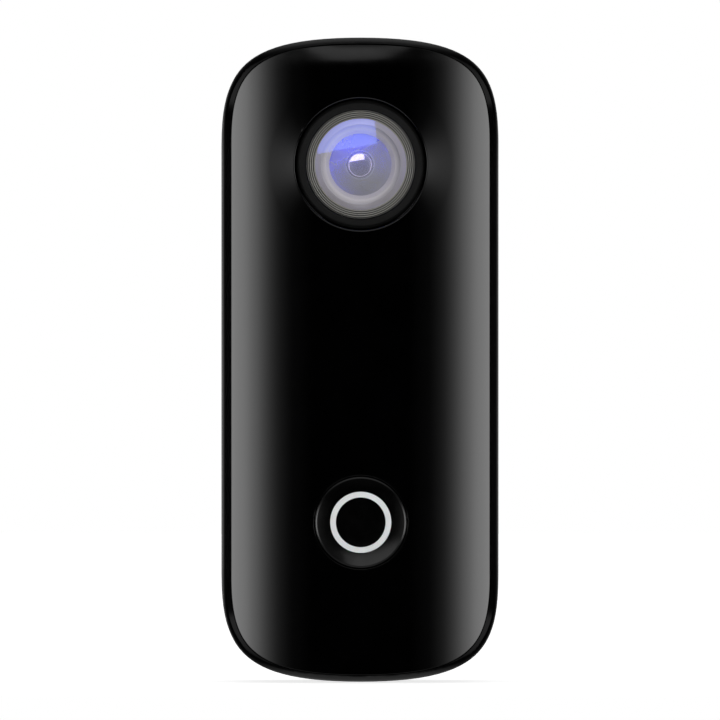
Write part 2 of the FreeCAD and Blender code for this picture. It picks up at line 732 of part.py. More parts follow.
@part("usb_tongue")
def usb_tongue():
    """Contact tongue in the middle of the port, with its contact pads as ribs."""
    inner_x = -POCKET_X + PORT_LEN - 1.0
    tongue = box(-10.9, inner_x, PORT_D - 0.35, PORT_D + 0.35, PORT_Z - 3.1, PORT_Z + 3.1)
    base = slot_bar("x", (PORT_D, PORT_Z), 8.3, 2.52, inner_x - 0.9, inner_x - 0.01)
    pads = [
        box(-10.6, inner_x - 0.9, PORT_D - 0.4, PORT_D + 0.4, PORT_Z + 0.5 * k - 0.12, PORT_Z + 0.5 * k + 0.12)
        for k in (-5, -4, -3, -2, -1, 0, 1, 2, 3, 4, 5)
    ]
    return join([tongue, base] + pads)


@part("card_socket")
def card_socket():
    """Push-push socket: thin metal shell on the board, open to the right."""
    low_z, high_z = CARD_Z - 6.9, CARD_Z + 6.9
    shell = box(-3.6, 11.4, BOARD_D1 + 0.02, 14.4, low_z, high_z)
    shell = shell.cut(box(-3.2, FAR, 12.95, 14.2, CARD_Z - 5.7, CARD_Z + 5.7))
    window = rounded_box(2.0, 8.0, 14, 15, CARD_Z - 3.2, CARD_Z + 3.2, 0.8, "y")
    return shell.cut(window)


@part("memory_card")
def memory_card():
    """Memory card with its notched side and a raised grip edge."""
    x0, x1 = CARD_OUT_X - CARD_LEN, CARD_OUT_X
    z0, z1 = CARD_Z - CARD_W / 2, CARD_Z + CARD_W / 2
    shoulder = [(x0 + 6.4, z1), (x0 + 6.4, z1 - 1.0), (x0 + 5.6, z1 - 1.4), (x0, z1 - 1.4)]
    points = [(x0, z0), (x1, z0), (x1, z1)] + shoulder + [(x0, z0)]
    front_y = -(CARD_D + CARD_T / 2)
    face = Part.Face(Part.makePolygon([V(x, front_y, z) for x, z in points]))
    sheet = face.extrude(V(0, CARD_T, 0))
    grip = box(x1 - 1.1, x1, CARD_D + CARD_T / 2 - 0.1, CARD_D + 0.5, z0 + 0.3, z1 - 0.3)
    return sheet.fuse(grip).removeSplitter()


@part("mode_button")
def mode_button():
    """Oval side button, flush with the wall, with a flange inside it."""
    face_x = BODY_W / 2 - 0.05
    cap = slot_bar("x", (MODE_D, MODE_Z), 5.0, 2.2, 11.2, face_x)
    cap = cap.makeFillet(0.25, [e for e in cap.Edges if e.BoundBox.XMin > face_x - 0.01])
    flange = slot_bar("x", (MODE_D, MODE_Z), 6.4, 3.2, 11.25, 11.7)
    return join([cap, flange])


@part("mode_switch")
def mode_switch():
    body = box(8.0, 10.4, BOARD_D1 + 0.01, 14.2, MODE_Z - 1.75, MODE_Z + 1.75)
    return body.cut(box(9.7, 11, 12.95, 13.85, MODE_Z - 0.85, MODE_Z + 0.85))


@part("mode_switch_plunger")
def mode_switch_plunger():
    return box(10.1, 11.18, 13.0, 13.8, MODE_Z - 0.8, MODE_Z + 0.8)


@part("microphone")
def microphone():
    capsule = rod_x(MIC_D, MIC_Z, 1.35, -11.78, -10.35)
    return capsule.cut(rod_x(MIC_D, MIC_Z, 0.4, -FAR, -11.4))


@part("microphone_mesh")
def microphone_mesh():
    return rod_x(MIC_D, MIC_Z, 1.08, -11.98, -11.82)


@part("reset_switch")
def reset_switch():
    body = box(-10.9, -9.2, BOARD_D1 + 0.01, 13.9, RESET_Z - 0.9, RESET_Z + 0.9)
    return body.fuse(box(-11.15, -10.9, 12.75, 13.45, RESET_Z - 0.4, RESET_Z + 0.4)).removeSplitter()


@part("wifi_antenna")
def wifi_antenna():
    """Flexible antenna stuck to the back of the deck."""
    return crown_sheet(DECK_BACK + 0.01, DECK_BACK + 0.16, box(-7, 7, 8, 19, -1.5, 8.0))


# ---------------------------------------------------------------- battery
@part("battery_cell")
def battery_cell():
    cell = box(-10.5, 10.5, 3.12, 10.25, BOARD_BOTTOM, 8.2)
    return cell.makeFillet(0.9, cell.Edges)


@part("battery_protection_board")
def battery_protection_board():
    strip = box(-8.5, 8.5, 5.2, 6.0, 8.22, 10.1)
    chips = [box(-2.5, 0.5, 6.0, 6.7, 8.5, 9.8), box(1.5, 3.5, 6.0, 6.6, 8.6, 9.7)]
    return join([strip] + chips)


LEAD_R = 0.35


@part("battery_leads")
def battery_leads():
    """Two short insulated wires from the protection board to the back of the main board."""

    def lead(x):
        points = [V(x, -6.36, 9.0), V(x, -6.36, 11.15), V(x, -BOARD_D0 + 0.01, 11.15)]
        path = rounded_path(points, 0.9)
        section = Part.Wire(Part.makeCircle(LEAD_R, points[0], V(0, 0, 1)))
        return swept(path, section)

    return group([lead(5.2), lead(6.4)])


@part("battery_tape")
def battery_tape():
    return box(-8, 8, REAR_WALL_D + 0.32, 3.1, -19, 6)


@part("battery_foam")
def battery_foam():
    return box(-6, 6, 10.27, BOARD_D0 - 0.02, -20, -8)


# ---------------------------------------------------------------- port cover
@part("port_cover")
def port_cover():
    """Silicone flap, flush with the side wall, with a plug that enters the charging port and a finger lip."""
    outer_x = -BODY_W / 2 + 0.03
    low_d = PORT_D - COVER_HALF_D
    high_d = PORT_D + COVER_HALF_D
    plate = rounded_box(outer_x, -POCKET_X - 0.05, low_d, high_d, COVER_LOW_Z, COVER_HIGH_Z, 1.5, "x")
    notch = rod(-BODY_W / 2 - 0.45, COVER_HIGH_Z, 0.9, 8, 18)
    plug = slot_bar("x", (PORT_D, PORT_Z), 7.9, 2.15, -POCKET_X - 0.1, -11.35)
    return plate.cut(notch).fuse(plug).removeSplitter()


@part("port_cover_strap")
def port_cover_strap():
    """The flap's strap, held by a barbed pin through the wall."""
    strap = box(-BODY_W / 2 + 0.05, -12.53, PORT_D - 1.5, PORT_D + 1.5, -6.4, COVER_LOW_Z - 0.08)
    pin = rod_x(PORT_D, -5.7, 0.6, -12.6, -10.8)
    head = Part.makeCone(0.95, 0.4, 0.5, V(-11.25, -PORT_D, -5.7), V(1, 0, 0))
    return join([strap, pin, head])


def main():
    os.makedirs("parts", exist_ok=True)
    for name, make in PARTS.items():
        shape = make()
        solids = shape.Solids
        clean = solids[0] if len(solids) == 1 else Part.makeCompound(solids)
        clean.exportStep(f"parts/{name}.step")
        valid = all(s.isValid() for s in solids)
        print(f"{name:26s} solids {len(solids)} valid {valid} volume {sum(s.Volume for s in solids):9.2f}")


main()
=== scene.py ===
"""Looks of the pocket action camera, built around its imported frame.

Depths are distances from the rear mounting face towards the lens, so depth d lies at y = -d.
Shapes are worked out in millimetres and turned into metres when a mesh is made.
"""

import sys

import json
import math

import bmesh
import bpy
import numpy as np
from mathutils import Quaternion, Vector
from mathutils.geometry import delaunay_2d_cdt
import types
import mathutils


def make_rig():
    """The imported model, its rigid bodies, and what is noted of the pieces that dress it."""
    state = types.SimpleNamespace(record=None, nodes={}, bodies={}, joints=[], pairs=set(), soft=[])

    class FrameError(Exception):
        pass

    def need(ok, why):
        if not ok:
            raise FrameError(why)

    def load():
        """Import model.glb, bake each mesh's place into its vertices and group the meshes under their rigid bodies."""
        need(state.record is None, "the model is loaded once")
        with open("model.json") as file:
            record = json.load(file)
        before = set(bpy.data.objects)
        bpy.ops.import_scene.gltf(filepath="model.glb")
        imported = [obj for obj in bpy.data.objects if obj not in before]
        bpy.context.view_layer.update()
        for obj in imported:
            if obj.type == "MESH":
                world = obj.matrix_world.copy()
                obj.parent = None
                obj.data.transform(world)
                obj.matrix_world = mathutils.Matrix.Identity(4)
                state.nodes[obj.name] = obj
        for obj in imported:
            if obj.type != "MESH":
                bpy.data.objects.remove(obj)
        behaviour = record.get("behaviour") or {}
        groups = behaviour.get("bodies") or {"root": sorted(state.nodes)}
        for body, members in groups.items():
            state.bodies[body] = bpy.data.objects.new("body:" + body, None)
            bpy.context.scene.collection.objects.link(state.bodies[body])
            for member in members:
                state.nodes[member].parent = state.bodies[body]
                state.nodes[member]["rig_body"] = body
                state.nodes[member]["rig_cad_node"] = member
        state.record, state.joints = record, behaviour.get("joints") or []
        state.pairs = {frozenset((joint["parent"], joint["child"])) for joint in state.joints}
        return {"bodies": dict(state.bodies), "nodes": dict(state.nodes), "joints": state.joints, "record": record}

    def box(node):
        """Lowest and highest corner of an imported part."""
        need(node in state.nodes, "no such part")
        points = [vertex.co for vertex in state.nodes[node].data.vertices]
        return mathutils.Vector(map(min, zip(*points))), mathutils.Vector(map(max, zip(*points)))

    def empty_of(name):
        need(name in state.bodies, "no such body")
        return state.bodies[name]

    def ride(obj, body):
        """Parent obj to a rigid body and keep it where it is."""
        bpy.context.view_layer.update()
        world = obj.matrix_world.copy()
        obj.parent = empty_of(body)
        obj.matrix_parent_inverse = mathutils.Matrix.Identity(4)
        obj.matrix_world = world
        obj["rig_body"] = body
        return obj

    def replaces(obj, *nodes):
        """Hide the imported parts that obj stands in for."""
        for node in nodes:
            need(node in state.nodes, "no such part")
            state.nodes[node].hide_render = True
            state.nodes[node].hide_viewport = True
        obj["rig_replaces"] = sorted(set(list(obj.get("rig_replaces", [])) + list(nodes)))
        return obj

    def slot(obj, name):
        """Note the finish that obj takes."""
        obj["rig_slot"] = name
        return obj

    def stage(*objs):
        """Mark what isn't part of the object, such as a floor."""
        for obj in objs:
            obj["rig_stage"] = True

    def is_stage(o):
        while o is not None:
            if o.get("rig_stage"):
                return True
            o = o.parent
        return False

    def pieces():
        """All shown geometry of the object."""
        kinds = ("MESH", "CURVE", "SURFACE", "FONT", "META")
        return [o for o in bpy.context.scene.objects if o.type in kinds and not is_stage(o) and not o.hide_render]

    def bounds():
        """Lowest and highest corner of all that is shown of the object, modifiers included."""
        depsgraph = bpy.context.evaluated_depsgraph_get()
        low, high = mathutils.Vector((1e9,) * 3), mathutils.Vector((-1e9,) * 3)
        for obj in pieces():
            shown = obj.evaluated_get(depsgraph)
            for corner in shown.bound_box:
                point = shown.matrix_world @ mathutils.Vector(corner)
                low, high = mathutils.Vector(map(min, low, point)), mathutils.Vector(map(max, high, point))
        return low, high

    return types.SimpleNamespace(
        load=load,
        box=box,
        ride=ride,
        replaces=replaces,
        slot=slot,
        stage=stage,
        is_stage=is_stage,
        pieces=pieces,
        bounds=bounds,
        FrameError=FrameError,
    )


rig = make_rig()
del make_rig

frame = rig.load()
cad_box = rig.bounds()
NODES = frame["nodes"]
MM = 0.001


def place(node):
    """A CAD node's box in millimetres: its middle x, its middle z, its back depth and its front depth."""
    low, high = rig.box(node)
    middle = (low + high) / 2 / MM
    return middle.x, middle.z, -high.y / MM, -low.y / MM


BODY_LOW, BODY_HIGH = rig.box("front_frame")
BODY_W = (BODY_HIGH.x - BODY_LOW.x) / MM
BODY_H = (BODY_HIGH.z - BODY_LOW.z) / MM
LENS_X, LENS_Z, _, LENS_FRONT_D = place("front_lens")
BUTTON_X, BUTTON_Z, _, _ = place("shutter_button")
CREST_D = place("front_cover")[3]

# ---------------------------------------------------------------- shapes shared with the housing
CAP_LEN = 10.1  # height of the curved end of the outline, whose curve has these two handles
CAP_END_HANDLE = 11.4
CAP_SIDE_HANDLE = 7.0
CROWN_A = 14.2  # half axes of the ellipse that crowns the front across its width
CROWN_B = 4.6
COVER_SIDE_INSET = 0.82
COVER_END_INSET = 0.65
COVER_EDGE_R = 0.05
COVER_T = 1.2
LENS_HOLE_R = 6.25
LENS_HOLE_EDGE_R = 0.14
FLARE_R = 8.6  # where the raised flare beside the lens has blended into the crown
FLARE_RISE = 0.12  # its height at the edge of the lens hole
BUTTON_HOLE_R = 4.46
BUTTON_HOLE_EDGE_R = 0.03
DISH_FLAT_R = 1.5  # where the button's dish starts to curve up
DISH_CURVE = 0.039
DISH_RIM_R = 4.3
DISH_RIM_D = 19.72
RING_IN = 2.36
RING_OUT = 2.89
RING_GAP = 0.015
BROW = 1.55  # how far below its top edge the cover starts to lean back
BROW_FALL = 0.19  # how far back it leans at the edge
BROW_HALF = 4.8  # and how far to each side


# ---------------------------------------------------------------- shader helpers
def add_node(tree, kind, inputs=(), **settings):
    """A shader node. An input is linked where it is given a socket, and set where it is given a value."""
    node = tree.nodes.new(kind)
    for key, value in settings.items():
        setattr(node, key, value)
    for socket, value in dict(inputs).items():
        if isinstance(value, bpy.types.NodeSocket):
            tree.links.new(value, node.inputs[socket])
        else:
            node.inputs[socket].default_value = value
    return node


class Look:
    """A Principled material: constants sit on the shader's own sockets, and what varies comes from nodes."""

    def __init__(self, name, color, roughness, **constants):
        self.material = bpy.data.materials.new(name)
        self.material.use_nodes = True
        self.tree = self.material.node_tree
        self.shader = self.tree.nodes["Principled BSDF"]
        self.object_point = self.add("ShaderNodeTexCoord").outputs["Object"]
        self.set("Base Color", (*color, 1.0))
        self.set("Roughness", roughness)
        for socket, value in constants.items():
            self.set(socket.replace("_", " "), value)

    def add(self, kind, inputs=(), **settings):
        return add_node(self.tree, kind, inputs, **settings)

    def set(self, socket, value):
        self.shader.inputs[socket].default_value = value

    def link(self, socket, output):
        self.tree.links.new(output, self.shader.inputs[socket])

    def noise(self, size_mm, detail=3.0, stretch=(1, 1, 1), roughness=0.55):
        """Noise whose blobs are about size_mm across."""
        mapping = self.add("ShaderNodeMapping", {"Vector": self.object_point, "Scale": stretch})
        scale = 1 / (size_mm * MM)
        values = {"Vector": mapping.outputs["Vector"], "Scale": scale}
        values |= {"Detail": detail, "Roughness": roughness}
        return self.add("ShaderNodeTexNoise", values).outputs["Fac"]

    def cells(self, size_mm):
        values = {"Vector": self.object_point, "Scale": 1 / (size_mm * MM)}
        return self.add("ShaderNodeTexVoronoi", values, feature="F1").outputs["Distance"]

    def spread(self, source, low, high, start=0.3, end=0.7):
        """Source, remapped from start..end to low..high."""
        values = {"Value": source, "From Min": start, "From Max": end, "To Min": low, "To Max": high}
        return self.add("ShaderNodeMapRange", values).outputs["Result"]

    def colors(self, factor, *stops):
        """A colour ramp from (position, colour) stops."""
        ramp = self.add("ShaderNodeValToRGB", {"Fac": factor})
        elements = ramp.color_ramp.elements
        while len(elements) < len(stops):
            elements.new(0.5)
        for element, (position, color) in zip(elements, stops):
            element.position = position
            element.color = (*color, 1.0)
        return ramp.outputs["Color"]

    def math(self, operation, *values):
        return self.add("ShaderNodeMath", dict(enumerate(values)), operation=operation).outputs[0]

    def vector(self, operation, one, two, output="Vector"):
        return self.add("ShaderNodeVectorMath", {0: one, 1: two}, operation=operation).outputs[output]

    def radius_mm(self, x, z):
        """Distance from a front-to-back axis, in millimetres."""
        flat = self.vector("MULTIPLY", self.object_point, (1, 0, 1))
        distance = self.vector("DISTANCE", flat, (x * MM, 0, z * MM), "Value")
        return self.math("MULTIPLY", distance, 1 / MM)

    def towards(self, x, z):
        """Distance from the lens axis along the direction (x, z), in metres."""
        offset = self.vector("SUBTRACT", self.object_point, (LENS_X * MM, 0, LENS_Z * MM))
        return self.vector("DOT_PRODUCT", offset, (x, 0, z), "Value")

    def bump(self, height, strength, depth_mm):
        values = {"Height": height, "Strength": strength, "Distance": depth_mm * MM}
        self.link("Normal", self.add("ShaderNodeBump", values).outputs["Normal"])

    def mottle(self, dark, light, size_mm):
        """Slight colour variation."""
        self.link("Base Color", self.colors(self.noise(size_mm), (0.3, dark), (0.7, light)))


def shade(level):
    return (level, level, level)


# ---------------------------------------------------------------- materials, one for each slot of the record
def cover_gloss(name):
    """Polished black, a little softer towards the top edge."""
    look = Look(name, shade(0.0004), 0.05, IOR=1.5)
    look.mottle(shade(0.0002), (0.0005, 0.0005, 0.0006), 3.0)
    height = look.add("ShaderNodeSeparateXYZ", {"Vector": look.object_point}).outputs["Z"]
    softer = look.spread(height, 0, 0.13, (BODY_H / 2 - 3.2) * MM, (BODY_H / 2 - 1.8) * MM)
    polish = look.spread(look.noise(1.4, 4), 0.035, 0.07)
    look.link("Roughness", look.math("ADD", polish, softer))
    return look.material


def moulded(name, color, grain_mm, roughness, relief=0.25):
    """Moulded plastic with a fine spark-eroded grain."""
    look = Look(name, color, roughness, IOR=1.47)
    dark = tuple(0.8 * c for c in color)
    light = tuple(1.25 * c for c in color)
    look.mottle(dark, light, grain_mm * 6)
    grain = look.noise(grain_mm, 2)
    look.link("Roughness", look.spread(grain, roughness * 0.8, roughness * 1.2))
    look.bump(grain, relief, grain_mm * 0.12)
    return look.material


def frame_black(name):
    """Satin black, duller round the four corners than along the straight edges."""
    look = Look(name, (0.0006, 0.0006, 0.0007), 0.1, IOR=1.47)
    look.mottle((0.0005, 0.0005, 0.0006), (0.0008, 0.0008, 0.0009), 0.5)
    grain = look.noise(0.09, 2)
    look.link("Roughness", look.spread(grain, 0.08, 0.12))
    look.bump(grain, 0.03, 0.01)
    axes = look.add("ShaderNodeSeparateXYZ", {"Vector": look.object_point}).outputs
    beside = look.math("ABSOLUTE", axes["X"])
    above = look.math("ABSOLUTE", axes["Z"])
    cap_start = BODY_H / 2 - CAP_LEN
    side = look.spread(beside, 0, 1, 6 * MM, 9.5 * MM)
    end = look.spread(above, 0, 1, (cap_start - 1) * MM, (cap_start + 3) * MM)
    look.link("Specular IOR Level", look.spread(look.math("MULTIPLY", side, end), 0.45, 0.05, 0, 1))
    return look.material


def shell_black(name):
    return moulded(name, (0.005, 0.005, 0.0055), 0.11, 0.36)


def silicone(name, color, roughness=0.55):
    look = Look(name, color, roughness, IOR=1.41)
    look.mottle(tuple(0.85 * c for c in color), tuple(1.2 * c for c in color), 1.2)
    look.set("Sheen Weight", 0.12)
    look.set("Sheen Roughness", 0.4)
    look.bump(look.noise(0.05, 2), 0.2, 0.006)
    return look.material


def foam_tape_black(name):
    look = Look(name, shade(0.02), 0.8)
    look.bump(look.cells(0.12), 0.5, 0.03)
    look.mottle(shade(0.014), shade(0.03), 0.3)
    return look.material


def film_adhesive(name):
    look = Look(name, (0.5, 0.5, 0.44), 0.3)
    look.mottle((0.42, 0.42, 0.36), (0.58, 0.58, 0.5), 1.5)
    look.bump(look.noise(0.8, 3), 0.3, 0.01)
    return look.material


def silicone_seal_grey(name):
    return silicone(name, (0.09, 0.09, 0.1))


def silicone_clear(name):
    return silicone(name, (0.6, 0.62, 0.65), 0.4)


def silicone_black(name):
    return silicone(name, (0.009, 0.009, 0.01), 0.5)


def plate_soft_black(name):
    """Soft-touch coat: matte, with a powdery sheen and a fine orange-peel."""
    look = Look(name, shade(0.012), 0.55, IOR=1.45)
    look.mottle(shade(0.009), shade(0.015), 2.5)
    look.set("Sheen Weight", 0.25)
    look.set("Sheen Roughness", 0.35)
    peel = look.noise(0.16, 3)
    look.link("Roughness", look.spread(peel, 0.46, 0.62))
    look.bump(peel, 0.3, 0.015)
    return look.material


def metal(name, color, roughness, brush=None, relief=0.15):
    """Bare or plated metal. Brush, if given, is how the noise is stretched into lines along one axis."""
    look = Look(name, color, roughness, Metallic=1.0)
    lines = look.noise(0.06 if brush else 0.4, 4, brush or (1, 1, 1))
    look.link("Roughness", look.spread(lines, roughness * 0.7, roughness * 1.3))
    look.mottle(tuple(0.85 * c for c in color), tuple(min(1.0, 1.08 * c) for c in color), 0.5)
    look.bump(lines, relief, 0.004)
    return look.material


def magnet_nickel(name):
    return metal(name, (0.62, 0.6, 0.56), 0.16)


def yoke_steel(name):
    return metal(name, (0.46, 0.46, 0.48), 0.34, brush=(1, 1, 0.03))


def screw_steel(name):
    return metal(name, (0.13, 0.13, 0.14), 0.3)


def insert_brass(name):
    return metal(name, (0.72, 0.5, 0.2), 0.28)


def ring_graphite(name):
    """Blasted, painted ring round the lens."""
    look = Look(name, shade(0.0095), 0.6, IOR=1.4, Specular_IOR_Level=0.2)
    grain = look.noise(0.05, 2)
    look.mottle(shade(0.0085), shade(0.0105), 0.6)
    look.bump(grain, 0.25, 0.005)
    return look.material


def barrel_black(name):
    """Barrel: turns coloured pale and dark by their distance from the axis, a painted highlight on each crest and
    painted shade in each groove, and a seat painted pale as painted light.
    """
    look = Look(name, shade(0.05), 0.42, Metallic=0.0, IOR=1.6)
    radius = look.radius_mm(LENS_X, LENS_Z)
    turns = look.math("MULTIPLY", look.math("SUBTRACT", radius, BAFFLE_INNER_R), 1 / BAFFLE_PITCH)
    phase = look.math("FRACT", turns)
    # dark is painted shade for each groove and pale a painted highlight for each crest of the turned head.
    dark = (0.01, 0.01, 0.009)
    pale = (0.34, 0.335, 0.31)
    grooves = look.colors(phase, (0.0, pale), (0.42, pale), (0.5, dark), (0.92, dark), (1.0, pale))
    outside = look.spread(radius, 0, 1, 4.33, 4.35)
    # The seat is painted pale in place of the light inside the barrel: painted light.
    seat = (0.58, 0.55, 0.6, 1.0)
    mixed = look.add("ShaderNodeMixRGB", {"Fac": outside, "Color1": seat, "Color2": grooves}).outputs[0]
    look.link("Base Color", mixed)
    look.bump(look.noise(0.04, 2, (1, 0.2, 1)), 0.15, 0.004)
    return look.material


def coated(name, reflected, roughness=0.03, passed=(1.0, 1.0, 1.0), thin=None):
    """Coated glass: a film on its front face mirrors one colour and lets the rest through.

    Where a shade colour is given, the film's reflection is darkened to that colour towards its lower right, as painted
    shade.
    """
    look = Look(name, reflected, roughness)
    look.tree.nodes.remove(look.shader)
    breath = look.noise(1.8, 2)
    dim = tuple(0.92 * c for c in reflected)
    tint = look.colors(breath, (0.3, dim), (0.7, reflected))
    if thin is not None:
        # Painted shade: the reflected colour is dimmed towards the lower right.
        grown = look.spread(look.towards(-0.45, 0.89), 0, 1, -2.6 * MM, 1.3 * MM)
        tint = look.colors(grown, (0.0, thin), (1.0, reflected))
    haze = look.spread(breath, roughness * 0.85, roughness * 1.15)
    mirror = look.add("ShaderNodeBsdfGlossy", {"Color": tint, "Roughness": haze}).outputs[0]
    clear = look.add("ShaderNodeBsdfTransparent", {"Color": (*passed, 1.0)}).outputs[0]
    film = look.add("ShaderNodeAddShader", {0: clear, 1: mirror}).outputs[0]
    surface = look.add("ShaderNodeNewGeometry").outputs
    facing = look.add("ShaderNodeSeparateXYZ", {"Vector": surface["True Normal"]}).outputs["Y"]
    leading = look.math("LESS_THAN", facing, -0.5)
    filmed = look.math("GREATER_THAN", look.math("SUBTRACT", leading, surface["Backfacing"]), 0.5)
    both = look.add("ShaderNodeMixShader", {0: filmed, 1: clear, 2: film}).outputs[0]
    look.tree.links.new(both, look.tree.nodes["Material Output"].inputs["Surface"])
    return look.material


def coated_glass(name):
    return coated(name, (0.08, 0.12, 0.5), 0.05)


def blue_coated_glass(name):
    """The second glass: a dull film that spreads a reflection into a deep blue glow."""
    # The film's reflection is painted darker towards the lower right: painted shade.
    return coated(name, (0.01, 0.02, 1.0), 0.3, thin=(0.02, 0.02, 0.1))


def glowing(name, stops, low_r, high_r, strength, lean=None):
    """A pale part deep in the lens: coloured by its distance from the axis, with a painted glow (emission) that stands
    in for the light gathered inside the lens.

    Where lean is given, the painted glow falls from strength at the lower left to lean at the upper right: painted
    light brighter on one side.
    """
    look = Look(name, stops[0][1], 0.55)
    tone = look.colors(look.spread(look.radius_mm(LENS_X, LENS_Z), 0, 1, low_r, high_r), *stops)
    look.link("Base Color", tone)
    # The part's tone is also painted on as glow, though the part is no lamp: painted light.
    look.link("Emission Color", tone)
    look.set("Emission Strength", strength)
    if lean is not None:
        reach = high_r * MM
        fall = look.spread(look.towards(-0.5, -0.87), lean, strength, -reach, reach)
        look.link("Emission Strength", fall)
    look.bump(look.noise(0.08, 3, (1, 0.3, 1)), 0.15, 0.004)
    return look.material


def spacer_grey(name):
    # The spacer's tones are painted glow, brighter towards the lower left: painted light.
    bevel, crest, step, rim = (0.34, 0.325, 0.36), (0.36, 0.345, 0.37), (0.28, 0.27, 0.3), (0.33, 0.32, 0.35)
    stops = ((0.0, bevel), (0.6, crest), (0.85, step), (1.0, rim))
    return glowing(name, stops, 2.9, 3.8, 0.66, lean=0.1)


def baffle_black(name):
    """A grey disc behind the second glass, given a painted glow, with a brighter turned edge at its opening as a
    painted highlight.
    """
    # The opening tone is a painted highlight; all three tones are painted on as glow.
    opening, inner, outer = (0.3, 0.305, 0.33), (0.25, 0.25, 0.27), (0.24, 0.24, 0.26)
    stops = ((0.0, opening), (0.08, opening), (0.1, inner), (1.0, outer))
    return glowing(name, stops, 1.25, 3.0, 0.47)


def frosted_glass(name):
    """The third lens: pale and given a painted glow like the stop around it, under a bright glossy film."""
    # Painted glow: the lens body glows though it is no lamp.
    material = glowing(name, ((0.0, (0.2, 0.2, 0.23)), (1.0, (0.24, 0.24, 0.27))), 0.0, 1.7, 0.45)
    tree = material.node_tree
    values = {"Color": (0.95, 0.85, 1.0, 1.0), "Roughness": 0.05}
    film = add_node(tree, "ShaderNodeBsdfGlossy", values).outputs[0]
    base = tree.nodes["Principled BSDF"].outputs[0]
    both = add_node(tree, "ShaderNodeAddShader", {0: base, 1: film}).outputs[0]
    tree.links.new(both, tree.nodes["Material Output"].inputs["Surface"])
    return material


def holder_plastic(name):
    return moulded(name, (0.012, 0.012, 0.013), 0.14, 0.5)


def filter_glass(name):
    return coated(name, (0.1, 0.3, 0.3), 0.03, (0.75, 0.95, 0.95))


def sensor_ceramic(name):
    return moulded(name, (0.07, 0.055, 0.045), 0.1, 0.5)


def sensor_cover(name):
    return coated(name, (0.2, 0.15, 0.4), 0.03, (0.8, 0.8, 0.9))


def board_green(name):
    """Solder mask over copper: faint traces show as raised, lighter lines."""
    look = Look(name, (0.01, 0.05, 0.03), 0.3, IOR=1.5)
    values = {"Vector": look.object_point, "Scale": 700.0, "Mortar Size": 0.03}
    values |= {"Color1": (0, 0, 0, 1), "Color2": (0.2, 0.2, 0.2, 1), "Mortar": (1, 1, 1, 1)}
    bricks = look.add("ShaderNodeTexBrick", values).outputs["Color"]
    look.link("Base Color", look.colors(bricks, (0.0, (0.008, 0.045, 0.028)), (1.0, (0.02, 0.1, 0.05))))
    look.bump(bricks, 0.4, 0.02)
    look.set("Coat Weight", 0.4)
    return look.material


def flex_amber(name):
    look = Look(name, (0.36, 0.15, 0.03), 0.25, IOR=1.6)
    values = {"Vector": look.object_point, "Scale": 900.0, "Distortion": 0.0}
    lines = look.add("ShaderNodeTexWave", values, bands_direction="X").outputs["Fac"]
    look.link("Base Color", look.colors(lines, (0.3, (0.3, 0.12, 0.02)), (0.8, (0.55, 0.27, 0.08))))
    look.bump(lines, 0.3, 0.01)
    return look.material


def connector_cream(name):
    return moulded(name, (0.62, 0.56, 0.44), 0.1, 0.45)


def button_black(name):
    look = Look(name, shade(0.0004), 0.16, IOR=1.5)
    look.mottle(shade(0.0003), shade(0.0006), 2.0)
    look.link("Roughness", look.spread(look.noise(0.8, 3), 0.14, 0.2))
    return look.material


def diffuser_white(name):
    """Milky light-pipe plastic with a trace of its lamps' glow."""
    look = Look(name, (0.8, 0.8, 0.8), 0.35, IOR=1.49)
    look.mottle((0.78, 0.78, 0.78), (0.83, 0.83, 0.83), 0.6)
    look.set("Subsurface Weight", 0.2)
    look.set("Subsurface Scale", 0.0004)
    look.set("Emission Color", (1.0, 1.0, 1.0, 1.0))
    look.set("Emission Strength", 0.02)
    return look.material


def switch_black(name):
    return moulded(name, (0.02, 0.02, 0.021), 0.08, 0.45)


def plunger_grey(name):
    return moulded(name, (0.3, 0.3, 0.29), 0.1, 0.45)


def led_amber(name):
    look = Look(name, (0.85, 0.75, 0.3), 0.2, IOR=1.5)
    look.mottle((0.8, 0.66, 0.22), (0.9, 0.82, 0.4), 0.3)
    look.bump(look.noise(0.1, 2), 0.1, 0.004)
    return look.material


def chip_black(name):
    return moulded(name, (0.014, 0.014, 0.015), 0.07, 0.5)


def shield_tin(name):
    return metal(name, (0.62, 0.62, 0.61), 0.32, brush=(0.04, 1, 1))


def port_steel(name):
    return metal(name, (0.5, 0.5, 0.51), 0.25, brush=(0.05, 1, 1))


def tongue_black(name):
    """Moulded tongue of the charging port."""
    look = Look(name, shade(0.01), 0.4)
    grain = look.noise(0.08, 2)
    look.mottle(shade(0.008), shade(0.02), 0.4)
    look.bump(grain, 0.2, 0.006)
    return look.material


def card_black(name):
    return moulded(name, (0.01, 0.01, 0.011), 0.07, 0.38)


def mode_black(name):
    return moulded(name, (0.006, 0.006, 0.0065), 0.06, 0.26, 0.12)


def microphone_steel(name):
    return metal(name, (0.5, 0.5, 0.5), 0.3)


def mesh_black(name):
    look = Look(name, shade(0.02), 0.7)
    weave = look.cells(0.09)
    look.link("Base Color", look.colors(weave, (0.2, shade(0.03)), (0.6, shade(0.004))))
    look.bump(weave, 0.6, 0.02)
    return look.material


def battery_foil(name):
    look = Look(name, (0.42, 0.43, 0.45), 0.3, Metallic=0.8)
    crinkle = look.noise(1.6, 4)
    look.link("Roughness", look.spread(crinkle, 0.22, 0.42))
    look.mottle((0.36, 0.37, 0.39), (0.48, 0.49, 0.51), 4.0)
    look.bump(crinkle, 0.4, 0.08)
    return look.material


def lead_insulation(name):
    return silicone(name, (0.3, 0.015, 0.015), 0.35)


def foam_grey(name):
    look = Look(name, shade(0.05), 0.85)
    look.mottle(shade(0.035), shade(0.07), 0.4)
    look.bump(look.cells(0.18), 0.7, 0.06)
    return look.material


